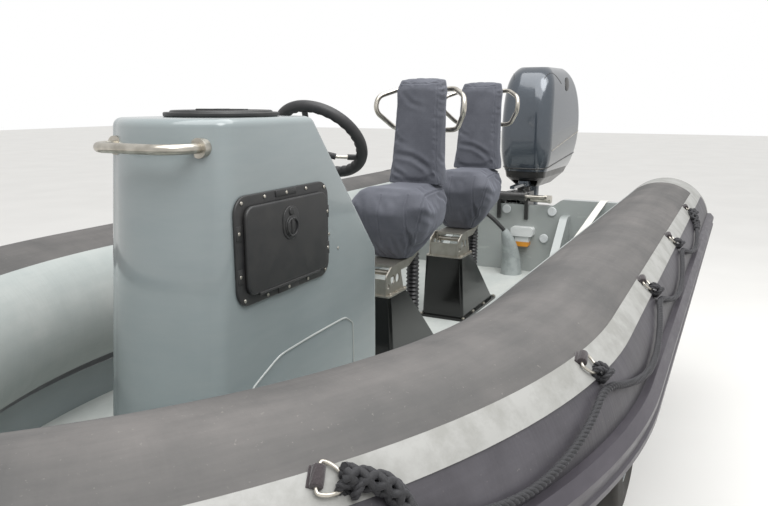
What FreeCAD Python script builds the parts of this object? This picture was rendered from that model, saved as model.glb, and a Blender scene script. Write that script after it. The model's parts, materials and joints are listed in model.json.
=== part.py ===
import FreeCAD, Part
import math
import os
from FreeCAD import Vector

# Rigid inflatable boat of about 4.9 m with a console, two jockey seats and an outboard, on its road trailer.
# Millimetres. While it is built, x runs forward from the transom's aft face, y to port, z up from the ground.
# At the end every piece is moved along x so that the origin is under the middle of the whole length.

# Fits
SKIN_GAP = 0.3
FIT_GAP = 0.05
MOVE_GAP = 6.0

# Inflatable collar
DECK_Z = 750.0
TUBE_R = 250.0
TUBE_HALF_SPACING = 877.0
TUBE_RISE = 356.0
STRAIGHT = 2700.0
BOW_LENGTH = 1360.0
BOW_TURN = 45.0
TUBE_OVERHANG = 250.0
END_CONE = 270.0
END_CONE_TIP_R = 95.0
STRAKE_DEPTH = 33.0
STRAKE_HALF = 48.0
STRAKE_GROOVE = 6.0
RUB_STRIP_ANGLES = (-22.0, -36.0, -50.0)
RUB_STRIP_WIDTH = 22.0
RUB_STRIP_DEPTH = 6.0
BAND_LOW = 37.0
BAND_HIGH = 51.5
BAND_DEPTH = 2.0

# Hull, deck and transom
KEEL_DEPTH = 290.0
DEADRISE_DEG = 17.5
BOW_DEADRISE_DEG = 34.0
KEEL_RISE = 262.0
HULL_PRISM = 2000.0
HULL_INSET = 87.0
COCKPIT_INSET = 102.0
DECK_T = 12.0
BOW_STEP_X = 3330.0
BOW_STEP_RISE = 100.0
TRANSOM_T = 60.0
TRANSOM_RISE = 430.0
TRANSOM_SHOULDER = 45.0
TRANSOM_NOTCH_HALF = 250.0
KNEE_Y = 342.0
KNEE_DOWN = 50.0
KNEE_LENGTH = 330.0
KNEE_T = 46.0
CAP_R = 28.0
PUMP_BOX_DOWN = 196.0
BOOT_X = 160.0
BOOT_Y = 32.0
BOOT_HEIGHT = 280.0
BOOT_LEAN_X = 35.0
BOOT_LEAN_Y = -45.0
RIGGING_R = 14.0
STRAP_Y = 555.0
STRAP_W = 42.0
STRAP_T = 3.0
STRAP_FOOT_X = 787.0
STRAP_FOOT_Y = 331.0

# Lifeline
RING_STATIONS = (580.0, 1450.0, 2250.0, 2980.0, 3600.0)
RING_ANGLE = 44.0
RING_R = 26.0
RING_WIRE_R = 4.0
TAB_W = 34.0
TAB_LENGTH = 54.0
TAB_T = 4.0
ROPE_R = 9.0

# Console
CONSOLE_HALF = 190.0
CONSOLE_FRONT_BASE = 3215.0
CONSOLE_HEIGHT = 1036.0
CONSOLE_FRONT_LEAN = 105.0
CONSOLE_FRONT_BULGE = 55.0
CONSOLE_TOP_AFT = 2718.0
CONSOLE_KNEE_X = 2327.0
CONSOLE_KNEE_Z = 580.0
CONSOLE_WALL = 5.0
CONSOLE_CORNER = 40.0
CONSOLE_EDGE = 28.0
HATCH_X = 2880.0
HATCH_Z = 708.0
HATCH_W = 436.0
HATCH_H = 282.0
HATCH_BORDER = 40.0
HATCH_CORNER = 46.0
HATCH_FRAME_T = 9.0
HATCH_LID_T = 9.0
HATCH_HINGE_R = 5.0
TOP_LID_R = 155.0
TOP_LID_X = 2885.0
TOP_LID_T = 16.0
RAIL_R = 12.5
RAIL_Z = CONSOLE_HEIGHT - 68.0
RAIL_REACH = 55.0
WHEEL_OUT_R = 170.0
WHEEL_RIM_R = 19.0
WHEEL_STANDOFF = 200.0
WHEEL_DOWN = 290.0
SPOKE_R = 6.5

# Seats
SEAT_PITCH = 794.0
SEAT_AFT_X = 750.0
SEAT_COUNT = 2
PED_LENGTH = 510.0
PED_WIDTH = 250.0
PED_FLANGE_T = 12.0
PED_FLANGE = 14.0
PED_HEIGHT = 315.0
PED_TOP_LENGTH = 165.0
PED_TOP_WIDTH = 190.0
BRACKET_HEIGHT = 115.0
BRACKET_T = 6.0
BRACKET_FLANGE = 18.0
GAITER_R = 30.0
GAITER_FOLDS = 26
SADDLE_BASE_Z = 430.0
SADDLE_TOP_Z = 715.0
SADDLE_LENGTH = 400.0
SADDLE_HALF_TOP = 182.0
SADDLE_HALF_AFT = 130.0
SADDLE_HALF_BASE = 85.0
SADDLE_RISE_START = 256.0
SADDLE_RISE = 0.41
BACK_T = 95.0
BACK_TOP_Z = 1176.0
BACK_LEAN = 34.0
BACK_HALF_BASE = 128.0
BACK_HALF_TOP = 114.0
GRAB_R = 11.0

# Outboard engine
TILT_AXIS_X = 40.0
TILT_AXIS_UP = 40.0
STEER_AXIS_X = -170.0
ENGINE_PAN_UP = 190.0
COWL_HEIGHT = 670.0
COWL_FRONT = -105.0
COWL_LENGTH = 720.0
COWL_HALF = 225.0
COWL_WALL = 6.0
LEG_WIDTH = 104.0
PLATE_BELOW_TRANSOM = 705.0
SHAFT_BELOW_PLATE = 165.0
GEARCASE_R = 58.0
PROP_R = 172.0
PROP_BLADES = 3
STEER_PIN_R = 22.0
SWIVEL_R = 42.0
CLAMP_INNER = 78.0
CLAMP_T = 22.0
TILT_TUBE_R = 16.0
RAM_R = 26.0
RAM_ROD_R = 11.0
CYLINDER_R = 26.0
CYLINDER_ROD_R = 9.0
CYLINDER_LENGTH = 210.0
CYLINDER_AHEAD = 108.0
CYLINDER_UP = 24.0
STEER_ARM_T = 16.0

# Trailer
RAIL_TOP_Z = 380.0
RAIL_H = 80.0
RAIL_W = 50.0
TRAILER_HALF = 480.0
TRAILER_REAR = 160.0
TRAILER_BEND_X = 2900.0
DRAWBAR_JOIN_X = 4150.0
DRAWBAR_TAIL_X = 3000.0
COUPLING_X = 5230.0
DRAWBAR_W = 80.0
AXLE_X = 1300.0
TYRE_R = 290.0
TYRE_W = 165.0
RIM_R = 165.0
WHEEL_Y = 872.0
AXLE_BEAM = 60.0
GUARD_GAP = 45.0
GUARD_T = 4.0
GUARD_W = 200.0
ROLLER_R = 45.0
ROLLER_W = 110.0
BUNK_Y = 520.0
BUNK_W = 90.0
BUNK_T = 45.0
CROSS_STATIONS = (300.0, 1150.0, 1900.0, 2700.0)
BALL_SOCKET_R = 25.2
JOCKEY_X = 4800.0
JOCKEY_R = 100.0
JOCKEY_W = 60.0
POST_X = 4380.0

B = TUBE_HALF_SPACING
TUBE_Z = DECK_Z + TUBE_RISE
TRANSOM_TOP = DECK_Z + TRANSOM_RISE
TURN = math.radians(BOW_TURN)
_S, _C = math.sin(TURN), math.cos(TURN)
_DET = (1 - _C) * (1 - _S) - _C * _S
SIDE_R = (B * (1 - _S) - _C * BOW_LENGTH) / _DET
NOSE_R = (BOW_LENGTH * (1 - _C) - B * _S) / _DET
NOSE_X = STRAIGHT + (SIDE_R - NOSE_R) * _S
TIP_X = STRAIGHT + BOW_LENGTH
AFT_X = min(-TUBE_OVERHANG - END_CONE, COWL_FRONT - COWL_LENGTH)
FORE_X = COUPLING_X + 60.0
ORIGIN_X = (AFT_X + FORE_X) / 2

Z_AXIS = Vector(0, 0, 1)
PARTS = {}


def box(x0, x1, y0, y1, z0, z1):
    return Part.makeBox(x1 - x0, y1 - y0, z1 - z0, Vector(x0, y0, z0))


def rod(a, b, r):
    a, b = Vector(*a), Vector(*b)
    return Part.makeCylinder(r, (b - a).Length, a, b - a)


def cone(a, b, r0, r1):
    a, b = Vector(*a), Vector(*b)
    return Part.makeCone(r0, r1, (b - a).Length, a, b - a)


def tidy(shape):
    return shape.removeSplitter()


def fuse(shapes):
    shapes = list(shapes)
    if len(shapes) == 1:
        return shapes[0]
    return tidy(shapes[0].multiFuse(shapes[1:]))


def mirror_y(shape):
    return shape.mirror(Vector(0, 0, 0), Vector(0, 1, 0))


def both_sides(shape):
    return [shape, mirror_y(shape)]


def on_plane(plane, u, v, w):
    if plane == "XY":
        return Vector(u, v, w)
    if plane == "XZ":
        return Vector(u, w, v)
    return Vector(w, u, v)


def rounded_wire(points, radius, plane, level):
    """Closed wire through 2-D points with each corner rounded, radius being one value or one for each point."""
    count = len(points)
    radii = radius if isinstance(radius, (list, tuple)) else [radius] * count
    edges = []
    first = last = None
    for i in range(count):
        p = Vector(points[i][0], points[i][1], 0)
        a = Vector(points[i - 1][0], points[i - 1][1], 0)
        b = Vector(points[(i + 1) % count][0], points[(i + 1) % count][1], 0)
        into, away = (a - p).normalize(), (b - p).normalize()
        half = into.getAngle(away) / 2
        if radii[i] > 0 and half < math.pi / 2 - 1e-6:
            back = radii[i] / math.tan(half)
            start, end = p + into * back, p + away * back
            centre = p + (into + away).normalize() * (radii[i] / math.sin(half))
            middle = centre + (p - centre).normalize() * radii[i]
            corner = [start, middle, end]
        else:
            corner = [p]
        if last is not None:
            edges.append(("line", last, corner[0]))
        else:
            first = corner[0]
        if len(corner) == 3:
            edges.append(("arc", corner[0], corner[1], corner[2]))
        last = corner[-1]
    edges.append(("line", last, first))
    made = []
    for edge in edges:
        pts = [on_plane(plane, q.x, q.y, level) for q in edge[1:]]
        if edge[0] == "line":
            if (pts[0] - pts[1]).Length > 1e-6:
                made.append(Part.LineSegment(*pts).toShape())
        else:
            made.append(Part.Arc(*pts).toShape())
    return Part.Wire(made)


def plate(points, radius, plane, level, depth):
    """Solid of a rounded outline, from level to level + depth along the plane's normal."""
    face = Part.Face(rounded_wire(points, radius, plane, level))
    return face.extrude(on_plane(plane, 0, 0, depth))


def rectangle(u0, u1, v0, v1):
    return [(u0, v0), (u1, v0), (u1, v1), (u0, v1)]


def route_wire(points, radii):
    """Straight runs joined by tangent arcs, with one radius for each inner point."""
    pts = [Vector(*p) for p in points]
    edges = []
    last = pts[0]
    for i in range(1, len(pts) - 1):
        into = (pts[i - 1] - pts[i]).normalize()
        away = (pts[i + 1] - pts[i]).normalize()
        half = into.getAngle(away) / 2
        back = radii[i - 1] / math.tan(half)
        start, end = pts[i] + into * back, pts[i] + away * back
        centre = pts[i] + (into + away).normalize() * (radii[i - 1] / math.sin(half))
        middle = centre + (pts[i] - centre).normalize() * radii[i - 1]
        edges.append(Part.LineSegment(last, start).toShape())
        edges.append(Part.Arc(start, middle, end).toShape())
        last = end
    edges.append(Part.LineSegment(last, pts[-1]).toShape())
    return Part.Wire(edges)


def pipe(points, r, bend):
    """Round bar along a route whose corners all have one bend radius."""
    wire = route_wire(points, [bend] * (len(points) - 2))
    return swept(wire, r)


def swept(wire, r):
    first = wire.OrderedEdges[0]
    start = first.valueAt(first.FirstParameter)
    ahead = first.tangentAt(first.FirstParameter)
    ring = Part.Wire([Part.makeCircle(r, start, ahead)])
    return wire.makePipeShell([ring], True, False)


def cord(name, points, r):
    """Free cord: the largest tangent arcs that its runs allow; prints its radii and its length."""
    pts = [Vector(*p) for p in points]
    radii = []
    for i in range(1, len(pts) - 1):
        into, away = pts[i - 1] - pts[i], pts[i + 1] - pts[i]
        half_turn = (math.pi - into.getAngle(away)) / 2
        radii.append(0.45 * min(into.Length, away.Length) / math.tan(half_turn))
    wire = route_wire(points, radii)
    solid = swept(wire, r)
    share = solid.Volume / (math.pi * r * r * wire.Length)
    print(name, "length", round(wire.Length), "radii", [round(q) for q in radii], "volume share", round(share, 4))
    return solid


# Collar path

def collar_point(s):
    """Centreline point of the port tube and its heading at arc length s from the transom: x, y, angle."""
    if s <= STRAIGHT:
        return s, B, 0.0
    s -= STRAIGHT
    if s <= SIDE_R * TURN:
        a = s / SIDE_R
        return STRAIGHT + SIDE_R * math.sin(a), B - SIDE_R * (1 - math.cos(a)), a
    a = TURN + (s - SIDE_R * TURN) / NOSE_R
    return NOSE_X + NOSE_R * math.sin(a), NOSE_R * math.cos(a), a


def collar_half_breadth(x):
    """Half-breadth of the tubes' centreline at station x."""
    if x <= STRAIGHT:
        return B
    if x <= STRAIGHT + SIDE_R * _S:
        return B - SIDE_R + math.sqrt(SIDE_R ** 2 - (x - STRAIGHT) ** 2)
    return math.sqrt(max(NOSE_R ** 2 - (x - NOSE_X) ** 2, 0.0))


def skin_point(s, angle, out=0.0, side=1):
    """Point on the tube's skin at arc length s, angle up from level on the outboard side, raised by out."""
    x, y, heading = collar_point(s)
    reach = (TUBE_R + out) * math.cos(math.radians(angle))
    up = (TUBE_R + out) * math.sin(math.radians(angle))
    return Vector(x + reach * math.sin(heading), side * (y + reach * math.cos(heading)), TUBE_Z + up)


def along_collar(section, aft=TUBE_OVERHANG):
    """Sweep a wire given by section(x) at the straight part's y, all round the collar."""
    x0 = -aft
    face = Part.Face(section(x0))
    straight = face.extrude(Vector(STRAIGHT - x0, 0, 0))
    face = Part.Face(section(STRAIGHT))
    side = face.revolve(Vector(STRAIGHT, B - SIDE_R, 0), Z_AXIS, -BOW_TURN)
    turned = face.copy()
    turned.rotate(Vector(STRAIGHT, B - SIDE_R, 0), Z_AXIS, -BOW_TURN)
    nose = turned.revolve(Vector(NOSE_X, 0, 0), Z_AXIS, -(180 - 2 * BOW_TURN))
    return fuse([straight, side, nose, mirror_y(side), mirror_y(straight)])


def circle_section(r):
    return lambda x: Part.Wire([Part.makeCircle(r, Vector(x, B, TUBE_Z), Vector(1, 0, 0))])


def polygon_section(points):
    """Section from (outboard, up) points about the tube's centre."""
    def wire(x):
        pts = [Vector(x, B + u, TUBE_Z + v) for u, v in points]
        return Part.makePolygon(pts + pts[:1])
    return wire


def ring_section(low, high, r0, r1):
    """Thin strip of the skin between two angles, from radius r0 to r1."""
    def wire(x):
        def at(r, deg):
            a = math.radians(deg)
            return Vector(x, B + r * math.cos(a), TUBE_Z + r * math.sin(a))
        mid = (low + high) / 2
        return Part.Wire([
            Part.Arc(at(r0, low), at(r0, mid), at(r0, high)).toShape(),
            Part.LineSegment(at(r0, high), at(r1, high)).toShape(),
            Part.Arc(at(r1, high), at(r1, mid), at(r1, low)).toShape(),
            Part.LineSegment(at(r1, low), at(r0, low)).toShape(),
        ])
    return wire


def cockpit_plan(inset, x0):
    """Face in plan inside the collar's centreline, inset from it, from x0 to the bow."""
    y = B - inset
    r1, r2 = SIDE_R - inset, NOSE_R - inset

    def side(a, sign):
        return Vector(STRAIGHT + r1 * math.sin(a), sign * (B - SIDE_R + r1 * math.cos(a)), 0)
    edges = [
        Part.LineSegment(Vector(x0, y, 0), Vector(STRAIGHT, y, 0)).toShape(),
        Part.Arc(side(0, 1), side(TURN / 2, 1), side(TURN, 1)).toShape(),
        Part.Arc(side(TURN, 1), Vector(NOSE_X + r2, 0, 0), side(TURN, -1)).toShape(),
        Part.Arc(side(TURN, -1), side(TURN / 2, -1), side(0, -1)).toShape(),
        Part.LineSegment(Vector(STRAIGHT, -y, 0), Vector(x0, -y, 0)).toShape(),
        Part.LineSegment(Vector(x0, -y, 0), Vector(x0, y, 0)).toShape(),
    ]
    return Part.Face(Part.Wire(edges))


def plan_slab(inset, x0, z0, z1):
    slab = cockpit_plan(inset, x0).extrude(Vector(0, 0, z1 - z0))
    slab.translate(Vector(0, 0, z0))
    return slab


# Boat structure

def seat_space():
    return along_collar(circle_section(TUBE_R + SKIN_GAP), TUBE_OVERHANG + 50)


def bottom_section(x):
    """Wide V section of the hull's bottom: the keel rises and the V deepens towards the bow."""
    share = max(x - HULL_PRISM, 0) / (TIP_X - HULL_PRISM)
    keel = DECK_Z - KEEL_DEPTH + KEEL_RISE * share ** 4
    late = max(x - BOW_STEP_X + 130, 0) / (TIP_X - BOW_STEP_X + 130)
    rise = math.tan(math.radians(DEADRISE_DEG + (BOW_DEADRISE_DEG - DEADRISE_DEG) * late ** 1.3))
    wide, top = B + 60, TUBE_Z + 300
    points = [(-wide, top), (-wide, keel + wide * rise), (0, keel), (wide, keel + wide * rise), (wide, top)]
    pts = [Vector(x, y, z) for y, z in points]
    return Part.makePolygon(pts + pts[:1])


def cockpit_space(gap):
    """Cockpit well: the low floor and the raised bow floor, with a gap added below."""
    low = plan_slab(COCKPIT_INSET, -10, DECK_Z - DECK_T - gap, DECK_Z + 600)
    low = low.common(box(-10, BOW_STEP_X + gap, -B, B, 0, 3000))
    high = plan_slab(COCKPIT_INSET, -10, DECK_Z + BOW_STEP_RISE - DECK_T - gap, DECK_Z + 600)
    return low.fuse(high)


def build_hull(space):
    """Moulded hull: the plan's outline over a V bottom, hollowed by the cockpit and the tubes' seat."""
    block = plan_slab(HULL_INSET, 0, DECK_Z - KEEL_DEPTH - 10, DECK_Z + 200)
    prism = Part.Face(bottom_section(-20)).extrude(Vector(HULL_PRISM + 20, 0, 0))
    count = 7
    stations = [HULL_PRISM + (TIP_X - HULL_PRISM) * i / count for i in range(count + 1)]
    bow = Part.makeLoft([bottom_section(x) for x in stations], True, False)
    parts = [block.common(shape).cut(space).cut(cockpit_space(SKIN_GAP)) for shape in (prism, bow)]
    return tidy(parts[0].fuse(parts[1]))


def build_deck():
    """Cockpit floor in two levels with the riser between them."""
    low = plan_slab(COCKPIT_INSET + SKIN_GAP, 0, DECK_Z - DECK_T, DECK_Z)
    low = low.common(box(0, BOW_STEP_X, -B, B, 0, 3000))
    z1 = DECK_Z + BOW_STEP_RISE
    high = plan_slab(COCKPIT_INSET + SKIN_GAP, 0, z1 - DECK_T, z1)
    high = high.common(box(BOW_STEP_X - DECK_T, TIP_X, -B, B, 0, 3000))
    riser = plan_slab(COCKPIT_INSET + SKIN_GAP, 0, DECK_Z - DECK_T, z1)
    riser = riser.common(box(BOW_STEP_X - DECK_T, BOW_STEP_X, -B, B, 0, 3000))
    return fuse([low, high, riser])


def build_transom(space):
    """Transom board with the engine's cut-out, and two moulded knees."""
    wide = B - COCKPIT_INSET - SKIN_GAP
    top, high, notch = TRANSOM_TOP, TRANSOM_TOP + TRANSOM_SHOULDER, TRANSOM_NOTCH_HALF
    outline = [(-wide, DECK_Z + SKIN_GAP), (wide, DECK_Z + SKIN_GAP), (wide, high), (notch + 60, high), (notch, top),
               (-notch, top), (-notch - 60, high), (-wide, high)]
    board = plate(outline, [0, 0, 0, 40, 40, 40, 40, 0], "YZ", 0, TRANSOM_T)
    x0, z0 = TRANSOM_T, DECK_Z + SKIN_GAP
    crest = top - KNEE_DOWN
    outline = [(x0, z0), (x0 + KNEE_LENGTH, z0), (x0 + KNEE_LENGTH, z0 + 150), (x0 + 75, crest), (x0, crest)]
    knees = [plate(outline, [0, 0, 70, 60, 0], "XZ", side * KNEE_Y - KNEE_T / 2, KNEE_T) for side in (-1, 1)]
    return tidy(board.cut(space).multiFuse(knees))


def build_collar():
    return along_collar(circle_section(TUBE_R))


def build_collar_ends():
    """Light rings and cones that close the tubes aft of the transom."""
    x = -TUBE_OVERHANG
    ring = rod((x, B, TUBE_Z), (x - 60, B, TUBE_Z), TUBE_R)
    end = cone((x - 60, B, TUBE_Z), (x - END_CONE, B, TUBE_Z), TUBE_R, END_CONE_TIP_R)
    cap = fuse([ring, end])
    picked = [e for e in cap.Edges if e.Length > 100 and abs(e.BoundBox.XMin - e.BoundBox.XMax) < 0.1
              and e.BoundBox.XMin < x - 30]
    cap = cap.makeFillet(40, picked)
    return both_sides(cap)


def build_strake():
    """Heavy grooved D-section fender at the widest part."""
    back = math.sqrt((TUBE_R + SKIN_GAP) ** 2 - STRAKE_HALF ** 2)
    out = TUBE_R + STRAKE_DEPTH
    h, g = STRAKE_HALF, STRAKE_GROOVE
    points = [(back, -h), (TUBE_R + 14, -h), (out, -h * 0.55), (out, -h * 0.28), (out - g, -h * 0.18),
              (out - g, h * 0.18), (out, h * 0.28), (out, h * 0.55), (TUBE_R + 14, h), (back, h)]
    band = along_collar(polygon_section(points), TUBE_OVERHANG + 20)
    return tidy(band.cut(seat_space()))


def build_rub_strips():
    half = math.degrees(RUB_STRIP_WIDTH / 2 / TUBE_R)
    return [along_collar(ring_section(a - half, a + half, TUBE_R + SKIN_GAP, TUBE_R + RUB_STRIP_DEPTH), 40)
            for a in RUB_STRIP_ANGLES]


def build_bands():
    return along_collar(ring_section(BAND_LOW, BAND_HIGH, TUBE_R + SKIN_GAP, TUBE_R + SKIN_GAP + BAND_DEPTH), 0)


def ring_frame(s, side):
    """Skin point, outward normal and forward direction of a lifeline ring."""
    base = skin_point(s, RING_ANGLE, BAND_DEPTH + 2 * SKIN_GAP, side)
    normal = (base - skin_point(s, RING_ANGLE, -50, side)).normalize()
    heading = collar_point(s)[2]
    ahead = Vector(math.cos(heading), -side * math.sin(heading), 0)
    return base, normal, ahead


def build_lifeline_rings():
    """Webbing tabs with a steel D-ring that lies out over the tube's side."""
    rings = []
    skin = along_collar(circle_section(TUBE_R + BAND_DEPTH + 2 * SKIN_GAP))
    for side in (1, -1):
        for s in RING_STATIONS:
            base, normal, ahead = ring_frame(s, side)
            down = normal.cross(ahead).normalize()
            if down.z > 0:
                down = down * -1
            corners = [base - normal * 8 + ahead * (u * TAB_W / 2) + down * (v * TAB_LENGTH / 2)
                       for u, v in ((-1, -1), (1, -1), (1, 1), (-1, 1), (-1, -1))]
            tab = Part.Face(Part.makePolygon(corners)).extrude(normal * (TAB_T + 8)).cut(skin)
            lift = base + normal * (TAB_T + RING_WIRE_R)
            a, b = lift + ahead * RING_R, lift - ahead * RING_R
            low = lift + down * (RING_R * 1.5) + normal * 4
            bar = rod(tuple(b), tuple(a), RING_WIRE_R)
            bow = swept(Part.Wire([Part.Arc(a, low, b).toShape()]), RING_WIRE_R)
            rings.append(fuse([tab, bar, bow]))
    return rings


# Console

def console_profile(inset, front):
    """Side outline of the console, inset by a wall; front is the foremost face at the base."""
    z1 = DECK_Z + CONSOLE_HEIGHT - inset
    lean = CONSOLE_FRONT_LEAN / CONSOLE_HEIGHT
    slope_x = CONSOLE_TOP_AFT - CONSOLE_KNEE_X
    slope_z = CONSOLE_HEIGHT - CONSOLE_KNEE_Z
    shift = inset * math.hypot(slope_x, slope_z) / slope_z
    top_aft = CONSOLE_TOP_AFT + shift - inset * slope_x / slope_z
    knee_z = DECK_Z + CONSOLE_KNEE_Z + (inset - shift) * slope_z / slope_x
    z0 = DECK_Z
    return [(front - inset, z0), (front - inset - lean * (z1 - z0), z1), (top_aft, z1),
            (CONSOLE_KNEE_X + inset, knee_z), (CONSOLE_KNEE_X + inset, z0)]


def console_body(inset):
    """Console solid: the side outline, its upper edges rounded, cut to a plan with a bowed front."""
    half = CONSOLE_HALF - inset
    front = CONSOLE_FRONT_BASE + CONSOLE_FRONT_BULGE
    edge = max(CONSOLE_EDGE - inset, 3)
    side = plate(console_profile(inset, front), [0, edge, edge, 20, 0], "XZ", -half, 2 * half)
    if inset == 0:
        side = round_side_edges(side, half)
    corner = CONSOLE_CORNER - inset
    wide = half + 1

    def plan(z, lean):
        x1 = CONSOLE_FRONT_BASE - inset - lean
        nose = x1 + CONSOLE_FRONT_BULGE
        x0 = CONSOLE_KNEE_X - 200
        a, b = Vector(x1 - corner, wide, z), Vector(x1 + 8, wide - corner, z)
        m = Vector(x1 - corner * 0.26, wide - corner * 0.27, z)
        flip = lambda p: Vector(p.x, -p.y, p.z)
        edges = [Part.LineSegment(Vector(x0, wide, z), a).toShape(), Part.Arc(a, m, b).toShape(),
                 Part.Arc(b, Vector(nose, 0, z), flip(b)).toShape(), Part.Arc(flip(b), flip(m), flip(a)).toShape(),
                 Part.LineSegment(flip(a), Vector(x0, -wide, z)).toShape(),
                 Part.LineSegment(Vector(x0, -wide, z), Vector(x0, wide, z)).toShape()]
        return Part.Wire(edges)
    top = DECK_Z + CONSOLE_HEIGHT + 10
    lean = CONSOLE_FRONT_LEAN * (top - DECK_Z + 10) / CONSOLE_HEIGHT
    block = Part.makeLoft([plan(DECK_Z - 10, 0), plan(top, lean)], True, True)
    return side.common(block)


def round_side_edges(shape, half):
    """Round both side outlines of the console, apart from the base."""
    picked = []
    for edge in shape.Edges:
        c = edge.BoundBox
        if abs(abs(c.YMin) - half) < 0.01 and c.YMax - c.YMin < 0.01 and c.ZMax > DECK_Z + 20:
            picked.append(edge)
    return shape.makeFillet(CONSOLE_EDGE * 0.6, picked)


def build_console():
    shell = console_body(0).cut(console_body(CONSOLE_WALL))
    shell = shell.cut(box(CONSOLE_KNEE_X + 30, CONSOLE_FRONT_BASE - 60, -CONSOLE_HALF + 25, CONSOLE_HALF - 25,
                          DECK_Z - 1, DECK_Z + 60))
    hatch = plate(hatch_outline(HATCH_BORDER - 12), HATCH_CORNER - 22, "XZ", CONSOLE_HALF - 30, 60)
    helm = helm_axis()
    hole = rod(tuple(helm[0] - helm[1] * 40), tuple(helm[0] + helm[1] * 40), 30)
    neck = Part.makeCylinder(TOP_LID_R - 20, 60, Vector(TOP_LID_X, 0, DECK_Z + CONSOLE_HEIGHT - 30))
    return tidy(shell.cut(hatch).cut(hole).cut(neck))


def hatch_outline(inset):
    return rectangle(HATCH_X - HATCH_W / 2 + inset, HATCH_X + HATCH_W / 2 - inset,
                     DECK_Z + HATCH_Z - HATCH_H / 2 + inset, DECK_Z + HATCH_Z + HATCH_H / 2 - inset)


def build_hatch_frame():
    y = CONSOLE_HALF + SKIN_GAP
    frame = plate(hatch_outline(0), HATCH_CORNER, "XZ", y, HATCH_FRAME_T)
    hole = plate(hatch_outline(HATCH_BORDER - 4), HATCH_CORNER - 22, "XZ", y - 1, HATCH_FRAME_T + 2)
    return frame.cut(hole)


def hatch_hinge():
    """Centre of the hatch lid's hinge, along its lower outer edge."""
    return Vector(HATCH_X, CONSOLE_HALF + 2 * SKIN_GAP + HATCH_FRAME_T + HATCH_LID_T,
                  DECK_Z + HATCH_Z - HATCH_H / 2 + HATCH_BORDER - 13.5)


def build_hatch_lid():
    """Lid that closes the frame's opening, with the rolled hinge along its lower edge."""
    y = CONSOLE_HALF + SKIN_GAP + HATCH_FRAME_T + SKIN_GAP
    lid = plate(hatch_outline(HATCH_BORDER - 14), HATCH_CORNER - 16, "XZ", y, HATCH_LID_T)
    pad = plate(hatch_outline(HATCH_BORDER + 4), HATCH_CORNER - 26, "XZ", y + HATCH_LID_T, 5)
    plug = plate(hatch_outline(HATCH_BORDER + 2), HATCH_CORNER - 24, "XZ", y - 6, 6)
    y += HATCH_LID_T + 5
    z = DECK_Z + HATCH_Z + 62
    latch = rod((HATCH_X, y - 1, z), (HATCH_X, y + 7, z), 26)
    ring = Part.makeTorus(21, 3.5, Vector(HATCH_X, y + 8, z - 6), Vector(0, 1, 0))
    hinge, half = hatch_hinge(), Vector(HATCH_W / 3, 0, 0)
    knuckle = rod(tuple(hinge - half), tuple(hinge + half), HATCH_HINGE_R)
    return fuse([lid, pad, plug, latch, ring, knuckle])


def build_top_lid():
    """Round screw lid on the console's top, with a folded handle."""
    z = DECK_Z + CONSOLE_HEIGHT
    rim = Part.makeCone(TOP_LID_R, TOP_LID_R - 8, TOP_LID_T, Vector(TOP_LID_X, 0, z + SKIN_GAP))
    neck = Part.makeCylinder(TOP_LID_R - 21, 26, Vector(TOP_LID_X, 0, z - 25))
    dish = Part.makeCylinder(TOP_LID_R - 34, 5, Vector(TOP_LID_X, 0, z + TOP_LID_T - 4))
    bar = plate(rectangle(TOP_LID_X - 16, TOP_LID_X + 16, -88, 88), 14, "XY", z + TOP_LID_T - 5, 9)
    return fuse([rim.fuse(neck).cut(dish), bar])


def build_console_rail():
    """Steel rail round the console's front, with round flanges."""
    lean = CONSOLE_FRONT_LEAN * RAIL_Z / CONSOLE_HEIGHT
    face = CONSOLE_FRONT_BASE - lean
    z = DECK_Z + RAIL_Z
    y = CONSOLE_HALF - 55
    out = face + CONSOLE_FRONT_BULGE + RAIL_REACH
    foot = face + 2
    points = [(foot, y, z), (out, y, z), (out, -y, z), (foot, -y, z)]
    flanges = [rod((foot, s * y, z), (foot + 24, s * y, z), 24) for s in (-1, 1)]
    return fuse([pipe(points, RAIL_R, 62)] + flanges).cut(console_body(-SKIN_GAP))


def helm_axis():
    """Foot of the steering shaft on the slanted face, and the face's outward normal."""
    slope = Vector(CONSOLE_KNEE_X - CONSOLE_TOP_AFT, 0, CONSOLE_KNEE_Z - CONSOLE_HEIGHT).normalize()
    foot = Vector(CONSOLE_TOP_AFT, 0, DECK_Z + CONSOLE_HEIGHT) + slope * WHEEL_DOWN
    normal = Vector(slope.z, 0, -slope.x)
    return foot, normal


def build_helm():
    """Helm pump's domed boss with the tilting neck, bored for the shaft."""
    foot, n = helm_axis()
    base = cone(tuple(foot + n * SKIN_GAP), tuple(foot + n * 34), 62, 52)
    neck = cone(tuple(foot + n * 34), tuple(foot + n * (WHEEL_STANDOFF - 78)), 46, 30)
    pump = rod(tuple(foot - n * 120), tuple(foot + n * SKIN_GAP), 29)
    bore = rod(tuple(foot + n * 20), tuple(foot + n * WHEEL_STANDOFF), 12 + FIT_GAP)
    return fuse([base, neck, pump]).cut(bore)


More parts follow.
